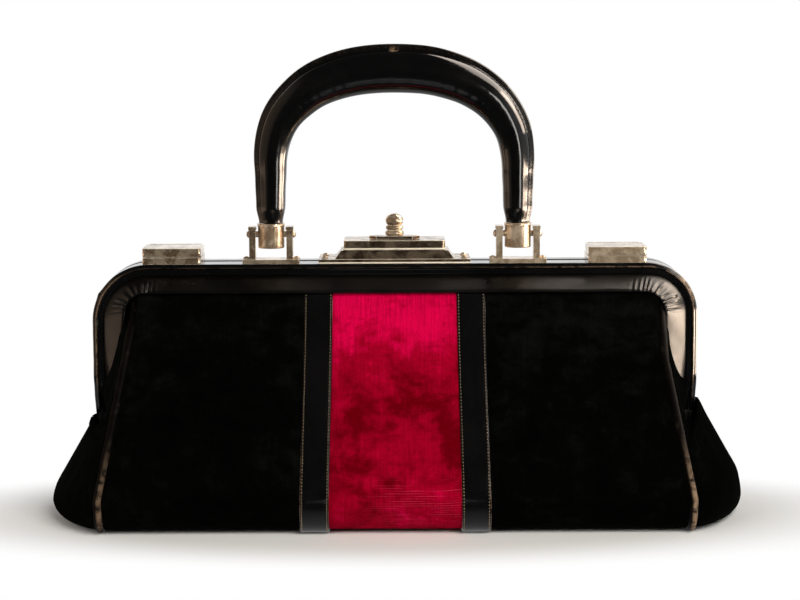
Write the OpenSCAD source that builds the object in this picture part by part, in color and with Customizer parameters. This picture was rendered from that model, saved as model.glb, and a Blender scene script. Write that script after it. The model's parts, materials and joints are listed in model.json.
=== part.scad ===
// Framed velvet handbag with a crimson centre stripe, leather straps, brass clasp and rolled handle.
// Millimetres, +Z up, front toward -Y, origin under the middle of the base.

/* [Bag body] */
// Length of the frame, which the body follows
bag_length = 299; // [270:1:330]
// Depth of the base, front to back
base_depth = 120; // [108:1:132]
// Depth of the velvet at its top edge
mouth_depth = 47; // [46:0.5:50]
// Rounding between the walls and the base
corner_round = 18; // [15:1:21]
// How far each end gusset swells past the base
gusset_swell = 33.5; // [28:0.5:38]
// Width of the crimson stripe between the straps
crimson_width = 62; // [50:1:80]
// Width of a leather strap
strap_width = 14; // [10:1:18]
// Thickness of a leather strap
strap_thick = 1.2; // [1:0.1:1.4]
// Thickness of the velvet and its backing
velvet_thick = 1.6; // [1.4:0.1:1.8]
// Diameter of the leather piping
piping_size = 4.4; // [4:0.1:4.8]

/* [Frame] */
// Height of the frame's top face
frame_top = 128; // [122:1:136]
// Outer radius of the frame's upper corners
frame_corner = 25; // [24:0.5:27]
// Depth of each jaw of the frame
jaw_depth = 14.6; // [14:0.1:15.2]
// Width of the jaw seen from the front
jaw_height = 6.2; // [6:0.1:6.6]

/* [Handle] */
// Distance between the two handle brackets
handle_span = 122; // [112:1:134]
// Height of the handle above its pins
handle_rise = 93.4; // [84:0.1:104]
// Thickness of the grip at its crown
grip_thick = 24; // [20:0.5:26]
// Thickness of the handle at its ferrules
leg_thick = 13.4; // [12.6:0.1:13.8]

/* [Clasp] */
// Length of the hinged hasp
hasp_length = 50; // [46:1:54]
// Diameter of the slide knob
knob_size = 9.4; // [8:0.1:10.4]
// Length of each end catch
catch_length = 28.8; // [27:0.1:31]

/* [Hidden] */
$fn = 48;
gap = 0.3;
run_fit = 0.05;
// frame
half_len = bag_length / 2;
hinge_drop = 77.5;
hinge_z = frame_top - hinge_drop;
leg_in = half_len - jaw_height;
leg_low = hinge_z + 8;
leg_taper_top = hinge_z + 20;
leg_tip_depth = 8.5;
mate = 0.25;
wrap_skin = 1.2;
steel_out = wrap_skin + 0.1;
steel_in = jaw_height - wrap_skin - 0.1;
lug_r = 6.8;
lug_mid = half_len - (steel_out + steel_in) / 2;
pin_r = 2;
head_r = 3.2;
// body shell
velvet_top = frame_top - 12.8;
base_half = half_len - 8.7;
top_half = half_len - 26.5;
end_slope = (base_half - top_half) / (velvet_top - corner_round);
corner_f = base_depth / 2 - corner_round;
mouth_f = mouth_depth / 2;
lean = atan2(corner_f - mouth_f, velvet_top - corner_round)
    + asin(corner_round / norm([corner_f - mouth_f, velvet_top - corner_round]));
panel_seam = (crimson_width + strap_width) / 2;
velvet_at = strap_thick + gap;
board_at = velvet_at + velvet_thick + gap;
board_thick = 2;
lining_thick = 1;
lining_floor = board_at + board_thick + gap;
piping_r = piping_size / 2;
gusset_edge = piping_size + 2 * gap;
swell_r = 8;
// facing
facing_thick = 1;
facing_ease = 0.9;
facing_low = frame_top - 14.6;
facing_tip = hinge_z + 14.5;
// fittings on the jaws
seat_y = jaw_depth / 2 + 0.1;
plate_thick = 2.2;
clasp_half = hasp_length / 2 + 12.5;
clasp_rivet_x = hasp_length / 2 + 9.5;
block_top = frame_top + 6.5;
hasp_low = block_top + gap;
hasp_high = hasp_low + 4.6;
hasp_front = -jaw_depth + 1;
hasp_back = 8.4;
hasp_wall = 1.2;
hasp_axis = [11, hasp_low + 2.2];
knuckle_r = 2.2;
wire_r = 1;
knob_y = -4;
slide_travel = 6;
shank_r = 1.9;
catch_x = half_len * 0.736;
catch_low = frame_top + 3.2 + gap;
catch_high = catch_low + 4.4;
catch_axis = [11, catch_low + 2.2];
stud_r = 1.1;
stud_len = 3.4;
stud_pitch = catch_length * 0.28;
// handle
bracket_x = handle_span / 2;
bracket_half = 14;
bracket_rivet = 12.4;
post_x = 9.2;
post_thick = 3.2;
post_depth = 6.6;
axle_z = frame_top + 14.3;
axle_r = 1.5;
cap_low = axle_z + 2.3;
ferrule_r = 6.5;
ferrule_low = axle_z - 6.8;
ferrule_high = axle_z + 5.4;
core_r = 3;
crown_z = axle_z + handle_rise - grip_thick / 2;
arch_z = ferrule_high + (crown_z - ferrule_high) * 0.37;
// colours
BLACK_VELVET = [0.05, 0.05, 0.055];
CRIMSON = [0.62, 0.02, 0.16];
PATENT = [0.03, 0.028, 0.03];
BRASS = [0.72, 0.6, 0.36];
STEEL = [0.25, 0.25, 0.27];

// Small helpers

function reversed(list) = [for (i = [len(list) - 1 : -1 : 0]) list[i]];
function mix(a, b, t) = a + (b - a) * t;
function unit(v) = v / norm(v);
function bend(a, k, b, t) = (1 - t) * (1 - t) * a + 2 * t * (1 - t) * k + t * t * b;
function arc_points(centre, r, a0, a1, steps) = [
    for (i = [0 : steps]) let (a = mix(a0, a1, i / steps)) centre + r * [cos(a), sin(a)]
];

// Draws a child made in +X on the left (-1) or right (+1) side
module on_side(side) {
    mirror([side < 0 ? 1 : 0, 0, 0]) children();
}

// Extrudes a child drawn in (Y, Z) from x0 to x1
module along_x(x0, x1) {
    translate([x0, 0, 0]) rotate([90, 0, 90]) linear_extrude(x1 - x0) children();
}

// Extrudes a child drawn in (X, Z) from y0 to y1
module along_y(y0, y1) {
    translate([0, y1, 0]) rotate([90, 0, 0]) linear_extrude(y1 - y0) children();
}

// A cylinder on the X direction
module rod_x(x0, x1, r, y, z) {
    translate([x0, y, z]) rotate([0, 90, 0]) cylinder(h = x1 - x0, r = r);
}

// A solid between two grids of points; round_section joins each row's last point to its first
module skin_solid(outer, inner, round_section = false) {
    rows = len(outer);
    cols = len(outer[0]);
    count = rows * cols;
    last = round_section ? cols - 1 : cols - 2;
    points = concat([for (r = outer) each r], [for (r = inner) each r]);
    sides = [for (i = [0 : rows - 2], j = [0 : last])
        let (a = i * cols + j, b = i * cols + (j + 1) % cols, c = a + cols, d = b + cols)
        each [[a, b, c], [b, d, c], [a + count, c + count, b + count], [b + count, c + count, d + count]]];
    ends = [for (j = [0 : last])
        let (k = (j + 1) % cols, e = (rows - 1) * cols)
        each [[j, j + count, k], [k, j + count, k + count],
            [e + j, e + k, e + j + count], [e + k, e + k + count, e + j + count]]];
    rims = round_section ? [] : [for (i = [0 : rows - 2])
        let (a = i * cols, c = a + cols, e = a + cols - 1, f = e + cols)
        each [[a, c, a + count], [c, c + count, a + count],
            [e, e + count, f], [f, e + count, f + count]]];
    polyhedron(points = points, faces = concat(sides, ends, rims));
}

// A solid through a row of closed rings with flat ends
module ring_solid(rings) {
    cols = len(rings[0]);
    top = (len(rings) - 1) * cols;
    sides = [for (i = [0 : len(rings) - 2], j = [0 : cols - 1])
        let (a = i * cols + j, b = i * cols + (j + 1) % cols)
        each [[a, b, a + cols], [b, b + cols, a + cols]]];
    caps = [[for (j = [cols - 1 : -1 : 0]) j], [for (j = [0 : cols - 1]) top + j]];
    polyhedron(points = [for (r = rings) each r], faces = concat(sides, caps));
}

// Body shell: the walls and base are one bent outline, set in by a depth d from the strap's face

function wrap_half(d) = concat(
    arc_points([corner_f, corner_round], corner_round - d, -90, lean, 8),
    [[mouth_f - d * cos(lean), velvet_top - d * sin(lean)]]
);
function wrap_line(d) = concat([for (p = reversed(wrap_half(d))) [-p[0], p[1]]], wrap_half(d));
function wall_f(d, z) = mouth_f - d / cos(lean) + (velvet_top - z) * tan(lean);
function edge_x(z) = z < corner_round ? base_half : base_half - end_slope * (z - corner_round);

module wrap_sheet(d0, d1, x0, x1) {
    along_x(x0, x1) polygon(concat(wrap_line(d0), reversed(wrap_line(d1))));
}

// The slanted ends of the wrap, set in from the end seam
module end_taper(inset) {
    above = velvet_top + 5;
    along_y(-base_depth, base_depth) polygon([
        [-base_half + inset, -1], [base_half - inset, -1], [base_half - inset, corner_round],
        [edge_x(above) - inset, above], [-edge_x(above) + inset, above], [-base_half + inset, corner_round]
    ]);
}

module velvet_panel(side) {
    color(BLACK_VELVET) on_side(side) intersection() {
        wrap_sheet(velvet_at, velvet_at + velvet_thick, panel_seam + gap / 2, base_half + 1);
        end_taper(0);
    }
}

module crimson_velvet_panel() {
    color(CRIMSON) wrap_sheet(velvet_at, velvet_at + velvet_thick, -panel_seam + gap / 2, panel_seam - gap / 2);
}

module strap(side) {
    color(PATENT) on_side(side) wrap_sheet(0, strap_thick, crimson_width / 2, crimson_width / 2 + strap_width);
}

module base_board() {
    color([0.5, 0.42, 0.3]) translate([-base_half + 6, -corner_f, board_at])
        cube([2 * base_half - 12, 2 * corner_f, board_thick]);
}

module lining_block(d, inset, floor_z) {
    intersection() {
        along_x(-base_half, base_half) polygon(wrap_line(d));
        end_taper(inset);
        translate([-base_half, -base_depth, floor_z]) cube([2 * base_half, 2 * base_depth, velvet_top * 2]);
    }
}

module lining() {
    color([0.3, 0.24, 0.2]) difference() {
        lining_block(board_at, 3, lining_floor);
        lining_block(board_at + lining_thick, 3 + lining_thick, lining_floor + lining_thick);
    }
}

// Piping: a tube along the wrap's end seam, front to back under the base
module piping(side) {
    line = wrap_line(piping_r);
    last = len(line) - 1;
    color([0.09, 0.06, 0.05]) on_side(side) ring_solid([for (i = [0 : last])
        let (
            p = line[i],
            t = unit(line[min(i + 1, last)] - line[max(i - 1, 0)]),
            centre = [edge_x(p[1]) + gap + piping_r, p[0], p[1]]
        )
        [for (k = [0 : 11]) centre + piping_r * [cos(k * 30), -sin(k * 30) * t[1], sin(k * 30) * t[0]]]
    ]);
}

// Gusset: rows run from the front edge to the fold at mid depth, and above the hinge to the facing.
// Each row holds its edge point, its end point and how flat it lies between them, 0 round to 1 straight.

function gusset_edge_at(z, f) = [edge_x(z) + gusset_edge, f, z];
function wall_edge_at(z) = gusset_edge_at(z, wall_f(velvet_at, z));
slack = 0.7;
// Rows round the bottom corner: the edge follows the wrap's arc, the fold the swollen end
gusset_low = [for (i = [0 : 6])
    let (
        a = mix(-90, lean, i / 6),
        r = corner_round - velvet_at,
        e = [corner_f + r * cos(a), corner_round + r * sin(a)],
        b = mix(-90, 30, max(i - 1, 0) / 5),
        swell_x = base_half + gusset_swell - swell_r
    )
    [gusset_edge_at(e[1], e[0]), i == 0
        ? [base_half + gusset_edge + 2, 0, velvet_at]
        : [swell_x + swell_r * cos(b), 0, velvet_at + swell_r + swell_r * sin(b)], slack]
];
fold_end = [half_len + 3.5, 0, hinge_z - 3];
fold_belly = 7;
gusset_mid = [for (i = [1 : 4])
    let (t = i / 4, low = gusset_low[6])
    [wall_edge_at(mix(low[0][2], hinge_z - 6, t)),
        mix(low[1], fold_end, t) + [fold_belly * t * (1 - t), 0, 0], slack]
];
// The top edge steps round the foot of the leg, clear of the jaw's swing, and runs up under the facing
function lap_end(z) = let (t = (z - facing_tip) / (velvet_top - facing_tip))
    [mix(leg_in - 1.6, edge_x(velvet_top) + 7.5, t), mix(13.5, mouth_f - 3, t), z];
leg_steps = [
    [half_len + 2.4, 7, hinge_z - 3.2], [half_len + 0.5, 13.2, hinge_z - 2.5],
    [leg_in + 2.5, 14.6, hinge_z - 1], [leg_in - 0.7, 14.6, hinge_z + 2]
];
gusset_high = concat(
    [for (i = [0 : 3]) [wall_edge_at(hinge_z - 4 + 2.2 * i), leg_steps[i], mix(slack, 1, (i + 1) / 4)]],
    [for (i = [0 : 4])
        [wall_edge_at(mix(hinge_z + 6, velvet_top - 1, i / 4)), lap_end(mix(facing_tip, velvet_top - 1, i / 4)), 1]]
);
gusset_rows = concat(gusset_low, gusset_mid, gusset_high);
function gusset_point(row, t) = let (
        e = row[0], m = row[1],
        c = mix(sin(90 * t), t, row[2]),
        s = mix(cos(90 * t), 1 - t, row[2])
    )
    [mix(e[0], m[0], c), mix(m[1], e[1], s), mix(e[2], m[2], c)];
// The way out of the cloth, turned down under the base
function gusset_out(row, t) = let (
        e = row[0], m = row[1], p = gusset_point(row, t),
        curved = [sin(90 * t), cos(90 * t)],
        straight = unit([e[1] - m[1], m[0] - e[0]]),
        n = mix(curved, straight, row[2] * min(1, 3 * t))
    )
    unit([n[0], n[1], p[2] < 8 ? (p[2] - 8) / 6 : 0]);

module gusset_half() {
    steps = 7;
    outer = [for (r = gusset_rows) [for (j = [0 : steps]) gusset_point(r, j / steps)]];
    inner = [for (r = gusset_rows) [for (j = [0 : steps])
        let (p = gusset_point(r, j / steps), q = p - velvet_thick * gusset_out(r, j / steps))
        [q[0], p[1] == 0 ? 0 : q[1], q[2]]]];
    skin_solid(outer, inner);
}

module gusset(side) {
    color(BLACK_VELVET) on_side(side) union() {
        gusset_half();
        mirror([0, 1, 0]) gusset_half();
    }
}

// Frame jaws: a section swept over the top, the two corners and the legs.
// The section is drawn with x = distance in from the outer face and y = depth from the mating plane.

module jaw_sweep(leg_bottom) {
    run = half_len - frame_corner;
    turn_z = frame_top - frame_corner;
    along_x(-run, run) translate([0, frame_top]) rotate(-90) mirror([0, 1]) children();
    for (side = [-1, 1]) on_side(side) {
        translate([run, 0, turn_z]) rotate([90, 0, 0]) rotate_extrude(angle = 90)
            translate([frame_corner, 0]) mirror([1, 0]) children();
        translate([half_len, 0, leg_bottom]) linear_extrude(turn_z - leg_bottom) rotate(180) children();
    }
}

// Leather round the steel, open at the mating plane, with a raised seam along its front edge
module cover_section() {
    front = mate + jaw_depth;
    polygon(concat(
        [[0, mate]],
        arc_points([1.4, front - 1.9], 1.4, 180, 90, 4),
        [[1.7, front], [2.2, front], [2.6, front - 0.6]],
        arc_points([jaw_height - 1, front - 1.6], 1, 90, 0, 3),
        [[jaw_height, mate], [steel_in + 0.1, mate], [steel_in + 0.1, front - 2]],
        [[wrap_skin, front - 2], [wrap_skin, mate]]
    ));
}

module steel_section() {
    translate([steel_out, mate + 0.1]) square([steel_in - steel_out, jaw_depth - 2.2]);
}

// Removes the front of a leg below its taper, set in by a skin thickness
module leg_taper_cut(inset) {
    for (side = [-1, 1]) on_side(side) along_x(leg_in - 2, half_len + 2) polygon([
        [-leg_tip_depth + inset, leg_low - 1], [-mate - jaw_depth + inset, leg_taper_top],
        [-mate - jaw_depth - 5, leg_taper_top], [-mate - jaw_depth - 5, leg_low - 1]
    ]);
}

// Bores for the studs and rivets that hold the fittings
module stud_bores(xs) {
    for (x = xs, side = [-1, 1])
        translate([side * x, -seat_y, frame_top - jaw_height - 1]) cylinder(h = jaw_height + 2, r = stud_r + run_fit);
}

front_studs = [clasp_rivet_x, bracket_x - bracket_rivet, bracket_x + bracket_rivet,
    catch_x - stud_pitch, catch_x + stud_pitch];
rear_studs = [clasp_rivet_x, catch_x - stud_pitch, catch_x + stud_pitch];

module jaw_cover(studs) {
    color(PATENT) difference() {
        jaw_sweep(leg_low) cover_section();
        leg_taper_cut(0);
        stud_bores(studs);
    }
}

// The steel strip, with a hinge lug below each leg in the layer lug_x0 to lug_x1
module jaw_steel(studs, lug_x0, lug_x1) {
    color(STEEL) difference() {
        union() {
            difference() {
                jaw_sweep(leg_low) steel_section();
                leg_taper_cut(1.6);
            }
            for (side = [-1, 1]) on_side(side) {
                rod_x(lug_x0, lug_x1, lug_r, 0, hinge_z);
                translate([lug_x0, -lug_r + 0.5, hinge_z])
                    cube([lug_x1 - lug_x0, lug_r - 0.5 - mate - 0.1, leg_low - hinge_z + 2]);
            }
        }
        rod_x(-half_len, half_len, pin_r + run_fit, 0, hinge_z);
        stud_bores(studs);
    }
}

module hinge_rivet(side) {
    color(STEEL) on_side(side) union() {
        rod_x(leg_in + 0.3, half_len - 0.1, pin_r, 0, hinge_z);
        rod_x(half_len - steel_out + gap, half_len - 0.1, head_r, 0, hinge_z);
        rod_x(leg_in + 0.3, half_len - steel_in - gap, head_r, 0, hinge_z);
    }
}

// Facing: a leather band from under the jaw's edge down over the velvet, gathered at the corners.
// Each column holds the tucked end, the outward direction and the free end.

function lap_side(z) = let (
        m = lap_end(z),
        e = gusset_edge_at(z + 2, wall_f(velvet_at, z + 2)),
        free = m + 2 * unit(e - m)
    ) free + [2.4, 0.8, 0];
corner_start = top_half - 8;
side_top = frame_top - frame_corner - 3;
facing_wide = leg_in - gap;
turn_in = frame_corner - jaw_height - gap;
facing_top_cols = [for (i = [0 : 2])
    let (t = i / 2, z = facing_low)
    [[t * (half_len - frame_corner), 12, frame_top - jaw_height - gap], [0, 0.7, 0.7],
        [t * corner_start, wall_f(-facing_thick - facing_ease, z), z], 0]];
facing_corner_cols = [for (i = [1 : 19])
    let (
        a = 90 * i / 20,
        b = lap_side(side_top),
        a_end = [half_len - frame_corner + turn_in * sin(a), 12, frame_top - frame_corner + turn_in * cos(a)],
        b_z = side_top + (facing_low - side_top) * cos(a),
        b_f = mix(wall_f(-facing_thick - facing_ease, b_z), b[1], pow(sin(a), 6))
    )
    [a_end, [0.7 * sin(a), 0.7, 0.7 * cos(a)],
        [corner_start + (b[0] - corner_start) * sin(a), b_f, b_z], sin(2 * a)]];
facing_side_cols = [for (i = [0 : 5])
    let (t = i / 5)
    [[facing_wide, mix(12, 10, t * t), mix(frame_top - frame_corner, facing_tip, t)], [0.7, 0.7, 0],
        lap_side(mix(side_top, facing_tip + 1, t)), 0]];
facing_half_cols = concat(facing_top_cols, facing_corner_cols, facing_side_cols);

function facing_row(col, index, depth) = let (
        a = col[0], n = col[1], b = col[2],
        belly = mix(0.42, 0.32, n[0] / 0.7),
        k = (a + b) / 2 + belly * norm(b - a) * n,
        pleat = 0.8 * col[3] * (index % 4 < 2 ? 1 : -1)
    )
    [for (j = [0 : 4]) let (t = j / 4) bend(a, k, b, t) + (pleat * sin(180 * t) - depth) * n];

function facing_grid(depth) = let (
        right = [for (i = [0 : len(facing_half_cols) - 1]) facing_row(facing_half_cols[i], i, depth)]
    )
    concat(
        [for (i = [len(right) - 1 : -1 : 1]) [for (p = right[i]) [-p[0], -p[1], p[2]]]],
        [for (r = right) [for (p = r) [p[0], -p[1], p[2]]]]
    );

module facing() {
    color([0.07, 0.05, 0.045]) skin_solid(facing_grid(0), facing_grid(facing_thick));
}

// Makes a rear piece from a front one
module to_rear() {
    mirror([0, 1, 0]) children();
}

// Handle brackets and pins

module handle_bracket(side) {
    color(BRASS) on_side(side) translate([bracket_x, -seat_y, 0]) difference() {
        union() {
            translate([-bracket_half, -6.4, frame_top]) cube([2 * bracket_half, 12.8, plate_thick]);
            for (k = [-1, 1]) translate([k * post_x - post_thick / 2, -post_depth / 2, frame_top + 1]) {
                cube([post_thick, post_depth, cap_low - frame_top]);
                translate([-0.35, -0.35, cap_low - frame_top - 1])
                    cube([post_thick + 0.7, post_depth + 0.7, 1.6]);
            }
        }
        rod_x(-bracket_half, bracket_half, axle_r + run_fit, 0, axle_z);
        for (k = [-1, 1]) translate([k * bracket_rivet, 0, frame_top - 1])
            cylinder(h = plate_thick + 2, r = stud_r + run_fit);
    }
}

module handle_pin(side) {
    head_x = post_x + post_thick / 2 + gap / 2;
    color(BRASS) on_side(side) translate([bracket_x, -seat_y, 0]) union() {
        rod_x(-head_x - 0.5, head_x + 0.5, axle_r, 0, axle_z);
        for (k = [-1, 1]) translate([k * head_x, 0, axle_z]) rotate([0, k * 90, 0])
            rotate_extrude() polygon(concat([[0, 0]], arc_points([0, -0.7], 2.05, 20, 90, 6)));
    }
}

// A round-headed rivet whose head sits at height z
module rivet(x, y, z) {
    translate([x, y, 0]) {
        translate([0, 0, z]) rotate_extrude() polygon(concat([[0, 0]], arc_points([0, -0.7], 1.9, 21.6, 90, 6)));
        translate([0, 0, frame_top - stud_len]) cylinder(h = z + 0.3 - frame_top + stud_len, r = stud_r);
    }
}

module bracket_rivets() {
    color(BRASS) for (side = [-1, 1], k = [-1, 1])
        rivet(side * (bracket_x + k * bracket_rivet), -seat_y, frame_top + plate_thick);
}

module clasp_rivets() {
    color(BRASS) for (side = [-1, 1]) rivet(side * clasp_rivet_x, -seat_y, frame_top + plate_thick);
}

// Clasp plates: a flange on the jaw with a raised block that the hasp lies on

module clasp_plate(block_back) {
    block_half = hasp_length / 2 + 4.5;
    difference() {
        union() {
            along_y(-jaw_depth + 0.8, -0.6) translate([-clasp_half, frame_top])
                square([2 * clasp_half, plate_thick]);
            along_y(block_back, -0.6) polygon([
                [-block_half, frame_top + 1], [block_half, frame_top + 1], [block_half, frame_top + plate_thick],
                [block_half - 3, block_top], [-block_half + 3, block_top], [-block_half, frame_top + plate_thick]
            ]);
        }
        for (side = [-1, 1]) translate([side * clasp_rivet_x, -seat_y, frame_top - 1])
            cylinder(h = plate_thick + 2, r = stud_r + run_fit);
    }
}

// Two hinge knuckles on a foot, bored for a wire pin
module knuckles(axis, x_in, x_out, foot_z) {
    for (side = [-1, 1]) on_side(side) difference() {
        union() {
            rod_x(x_in, x_out, knuckle_r, axis[0], axis[1]);
            translate([x_in, axis[0] - 1.6, foot_z]) cube([x_out - x_in, 3.2, axis[1] - foot_z]);
        }
        rod_x(x_in - 1, x_out + 1, wire_r + run_fit, axis[0], axis[1]);
    }
}

// A block from z up, with its two front upright edges rounded
module round_fronted(half, front, back, z, height) {
    r = 1.6;
    translate([0, 0, z]) {
        translate([-half, front + r, 0]) cube([2 * half, back - front - r, height]);
        translate([-half + r, front, 0]) cube([2 * (half - r), r + 1, height]);
        for (side = [-1, 1]) translate([side * (half - r), front + r, 0]) cylinder(h = height, r = r);
    }
}

// A hollow lid hinged at its back edge, open below and behind; lip is how far its lower rim stands out
module hinged_lid(half, low, high, axis, barrel_half, lip) {
    difference() {
        union() {
            round_fronted(half, hasp_front, hasp_back, low, high - low);
            if (lip > 0) round_fronted(half + lip, hasp_front - lip, hasp_back, low, 0.8);
            rod_x(-barrel_half, barrel_half, knuckle_r, axis[0], axis[1]);
            translate([-barrel_half, hasp_back - 1, axis[1] + 0.6])
                cube([2 * barrel_half, axis[0] - hasp_back + 1, 1.2]);
        }
        translate([-half + hasp_wall, hasp_front + hasp_wall, low - 1])
            cube([2 * (half - hasp_wall), hasp_back - hasp_front - hasp_wall - 0.4, high - low - hasp_wall + 1]);
        rod_x(-half, half, wire_r + run_fit, axis[0], axis[1]);
    }
}

module wire_pin(half, axis) {
    color(BRASS) rod_x(-half, half, wire_r, axis[0], axis[1]);
}

hasp_half = hasp_length / 2;
hasp_barrel = hasp_half - 6;
catch_half = catch_length / 2;
catch_barrel = catch_half - 5.6;

module clasp_front_plate() {
    color(BRASS) clasp_plate(-jaw_depth + 1.6);
}

module clasp_rear_plate() {
    color(BRASS) union() {
        to_rear() clasp_plate(-7.6);
        knuckles(hasp_axis, hasp_barrel + gap, hasp_half - 2, frame_top + plate_thick - 0.5);
    }
}

module clasp_hinge_pin() {
    wire_pin(hasp_half - 2, hasp_axis);
}

module clasp_hasp() {
    color(BRASS) difference() {
        hinged_lid(hasp_half, hasp_low, hasp_high, hasp_axis, hasp_barrel, 0.4);
        for (x = [0, slide_travel]) translate([x, knob_y, hasp_low]) cylinder(h = 8, r = shank_r + 0.2);
        translate([0, knob_y - shank_r - 0.2, hasp_low]) cube([slide_travel, 2 * shank_r + 0.4, 8]);
    }
}

module clasp_slide_plate() {
    slide_half = hasp_half / 2;
    color(BRASS) translate([0, knob_y, hasp_high + 0.15]) difference() {
        linear_extrude(1.5) polygon([
            [-slide_half, 0], [-slide_half + 3.5, -4], [slide_half - 3.5, -4],
            [slide_half, 0], [slide_half - 3.5, 4], [-slide_half + 3.5, 4]
        ]);
        translate([0, 0, -1]) cylinder(h = 4, r = shank_r + run_fit);
    }
}

// A turned bead of the knob's outline, from z - half to z + half
function bead(r, z, half) = [
    for (i = [0 : 6]) let (a = mix(-75, 75, i / 6)) [r - half * (1 - cos(a)), z + half * sin(a)]
];

// The knob is a drum, a ring and a dome, one on another
module clasp_knob() {
    knob_r = knob_size / 2;
    low = hasp_high + 1.65;
    foot = hasp_low + 1.6 - low;
    color(BRASS) translate([0, knob_y, low]) rotate_extrude() polygon(concat(
        [[0, foot], [shank_r, foot], [shank_r, 0], [knob_r - 0.8, 0]],
        bead(knob_r, 1.4, 1.3),
        bead(knob_r * 0.93, 4.1, 1.05),
        [for (i = [0 : 8]) let (a = mix(-42, 90, i / 8)) [knob_r * 0.95 * cos(a), 7.6 + 3.5 * sin(a)]]
    ));
}

module clasp_bolt() {
    color(BRASS) translate([0, knob_y, hasp_low + 1.6]) difference() {
        translate([-11, -4, 0]) cube([22, 8, 1.3]);
        translate([0, 0, -1]) cylinder(h = 4, r = shank_r + run_fit);
    }
}

// End catches: a keeper on the front jaw, a base on the rear jaw and a hinged flap over both

module catch_foot(back) {
    round_fronted(catch_half, back, -0.6, frame_top, catch_low - gap - frame_top);
    for (k = [-1, 1]) translate([k * stud_pitch, -seat_y, frame_top - stud_len])
        cylinder(h = stud_len + 1, r = stud_r);
}

module catch_keeper(side) {
    color(BRASS) translate([side * catch_x, 0, 0]) catch_foot(-jaw_depth + 0.8);
}

module catch_base(side) {
    color(BRASS) translate([side * catch_x, 0, 0]) difference() {
        union() {
            to_rear() catch_foot(-jaw_depth + 0.8);
            knuckles(catch_axis, catch_barrel + gap, catch_half - 1.5, frame_top + 1);
        }
        // room for the lid's barrel and its turning back edge
        rod_x(-catch_barrel - 0.15, catch_barrel + 0.15, 3.9, catch_axis[0], catch_axis[1]);
    }
}

module catch_pin(side) {
    translate([side * catch_x, 0, 0]) wire_pin(catch_half - 1.5, catch_axis);
}

module catch_flap(side) {
    color(BRASS) translate([side * catch_x, 0, 0])
        hinged_lid(catch_half, catch_low, catch_high, catch_axis, catch_barrel, 0);
}

// Handle: a rolled grip with a sewn welt along its outer edge, on a core that ends in two ferrules

function arch_at(a) = [
    -bracket_x * sign(cos(a)) * pow(abs(cos(a)), 0.87), arch_z + (crown_z - arch_z) * pow(sin(a), 0.87)
];
// The route in (X, Z), from the left ferrule over the crown, starting at height low
function grip_route(low) = concat(
    [for (i = [0 : 3]) [-bracket_x, mix(low, arch_z, i / 4)]],
    [for (i = [0 : 22]) arch_at(180 * i / 22)],
    [for (i = [3 : -1 : 0]) [bracket_x, mix(low, arch_z, i / 4)]]
);
function grip_size(z) = let (t = (z - ferrule_high) / (crown_z - ferrule_high))
    mix(leg_thick, grip_thick, pow(t, 1.7));

// Rings of a section across the route; each section point is [across the arch, depth]
function grip_rings(route, sections) = [for (i = [0 : len(route) - 1])
    let (
        t = unit(route[min(i + 1, len(route) - 1)] - route[max(i - 1, 0)]),
        out = [-t[1], t[0]]
    )
    [for (s = sections[i]) [route[i][0] + out[0] * s[0], s[1] - seat_y, route[i][1] + out[1] * s[0]]]
];

// A round roll with a flat welt on its outer side
function roll_section(size) = let (r = size * 0.44, c = -size * 0.06)
    concat(
        [for (a = [42 : 34.5 : 318]) [c + r * cos(a), r * 0.98 * sin(a)]],
        [[size * 0.43, -1.7], [size / 2, -1.3], [size / 2, 1.3], [size * 0.43, 1.7]]
    );
function round_section(r, count) = [
    for (k = [0 : count - 1]) let (a = 42 + 360 * k / count) r * [cos(a), sin(a)]
];

module handle_cover() {
    route = grip_route(ferrule_high + 0.2);
    outer = [for (p = route) roll_section(grip_size(p[1]))];
    inner = [for (p = route) round_section(core_r + gap, len(outer[0]))];
    color(PATENT) skin_solid(grip_rings(route, outer), grip_rings(route, inner), round_section = true);
}

module handle_core() {
    route = grip_route(ferrule_high - 2.4);
    color(STEEL) ring_solid(grip_rings(route, [for (p = route) round_section(core_r, 8)]));
}

module ferrule(side) {
    color(BRASS) on_side(side) translate([bracket_x, -seat_y, 0]) difference() {
        rotate_extrude() polygon(concat(
            [[0, ferrule_low]],
            arc_points([ferrule_r - 0.6, ferrule_low + 0.6], 0.6, -90, 0, 3),
            [[ferrule_r, ferrule_high - 1.6], [ferrule_r + 0.3, ferrule_high - 1.2]],
            [[ferrule_r + 0.3, ferrule_high], [0, ferrule_high]]
        ));
        rod_x(-10, 10, axle_r + run_fit, 0, axle_z);
        translate([0, 0, ferrule_high - 2.8]) cylinder(h = 4, r = core_r + gap);
    }
}

velvet_panel(-1);  // left_velvet_panel
velvet_panel(1);  // right_velvet_panel
crimson_velvet_panel();
strap(-1);  // left_strap
strap(1);  // right_strap
gusset(-1);  // left_gusset
gusset(1);  // right_gusset
piping(-1);  // left_piping
piping(1);  // right_piping
base_board();
lining();
hinge_rivet(-1);  // left_hinge_rivet
hinge_rivet(1);  // right_hinge_rivet
jaw_steel(front_studs, lug_mid + 0.2, half_len - steel_out);  // front_jaw_steel
jaw_cover(front_studs);  // front_jaw_cover
facing();  // front_facing
handle_bracket(-1);  // left_handle_bracket
handle_bracket(1);  // right_handle_bracket
handle_pin(-1);  // left_handle_pin
handle_pin(1);  // right_handle_pin
bracket_rivets();
clasp_front_plate();
clasp_rivets();  // clasp_front_rivets
catch_keeper(-1);  // left_catch_keeper
catch_keeper(1);  // right_catch_keeper
to_rear() jaw_steel(rear_studs, half_len - steel_in, lug_mid - 0.2);  // rear_jaw_steel
to_rear() jaw_cover(rear_studs);  // rear_jaw_cover
to_rear() facing();  // rear_facing
clasp_rear_plate();
to_rear() clasp_rivets();  // clasp_rear_rivets
clasp_hinge_pin();
catch_base(-1);  // left_catch_base
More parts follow.
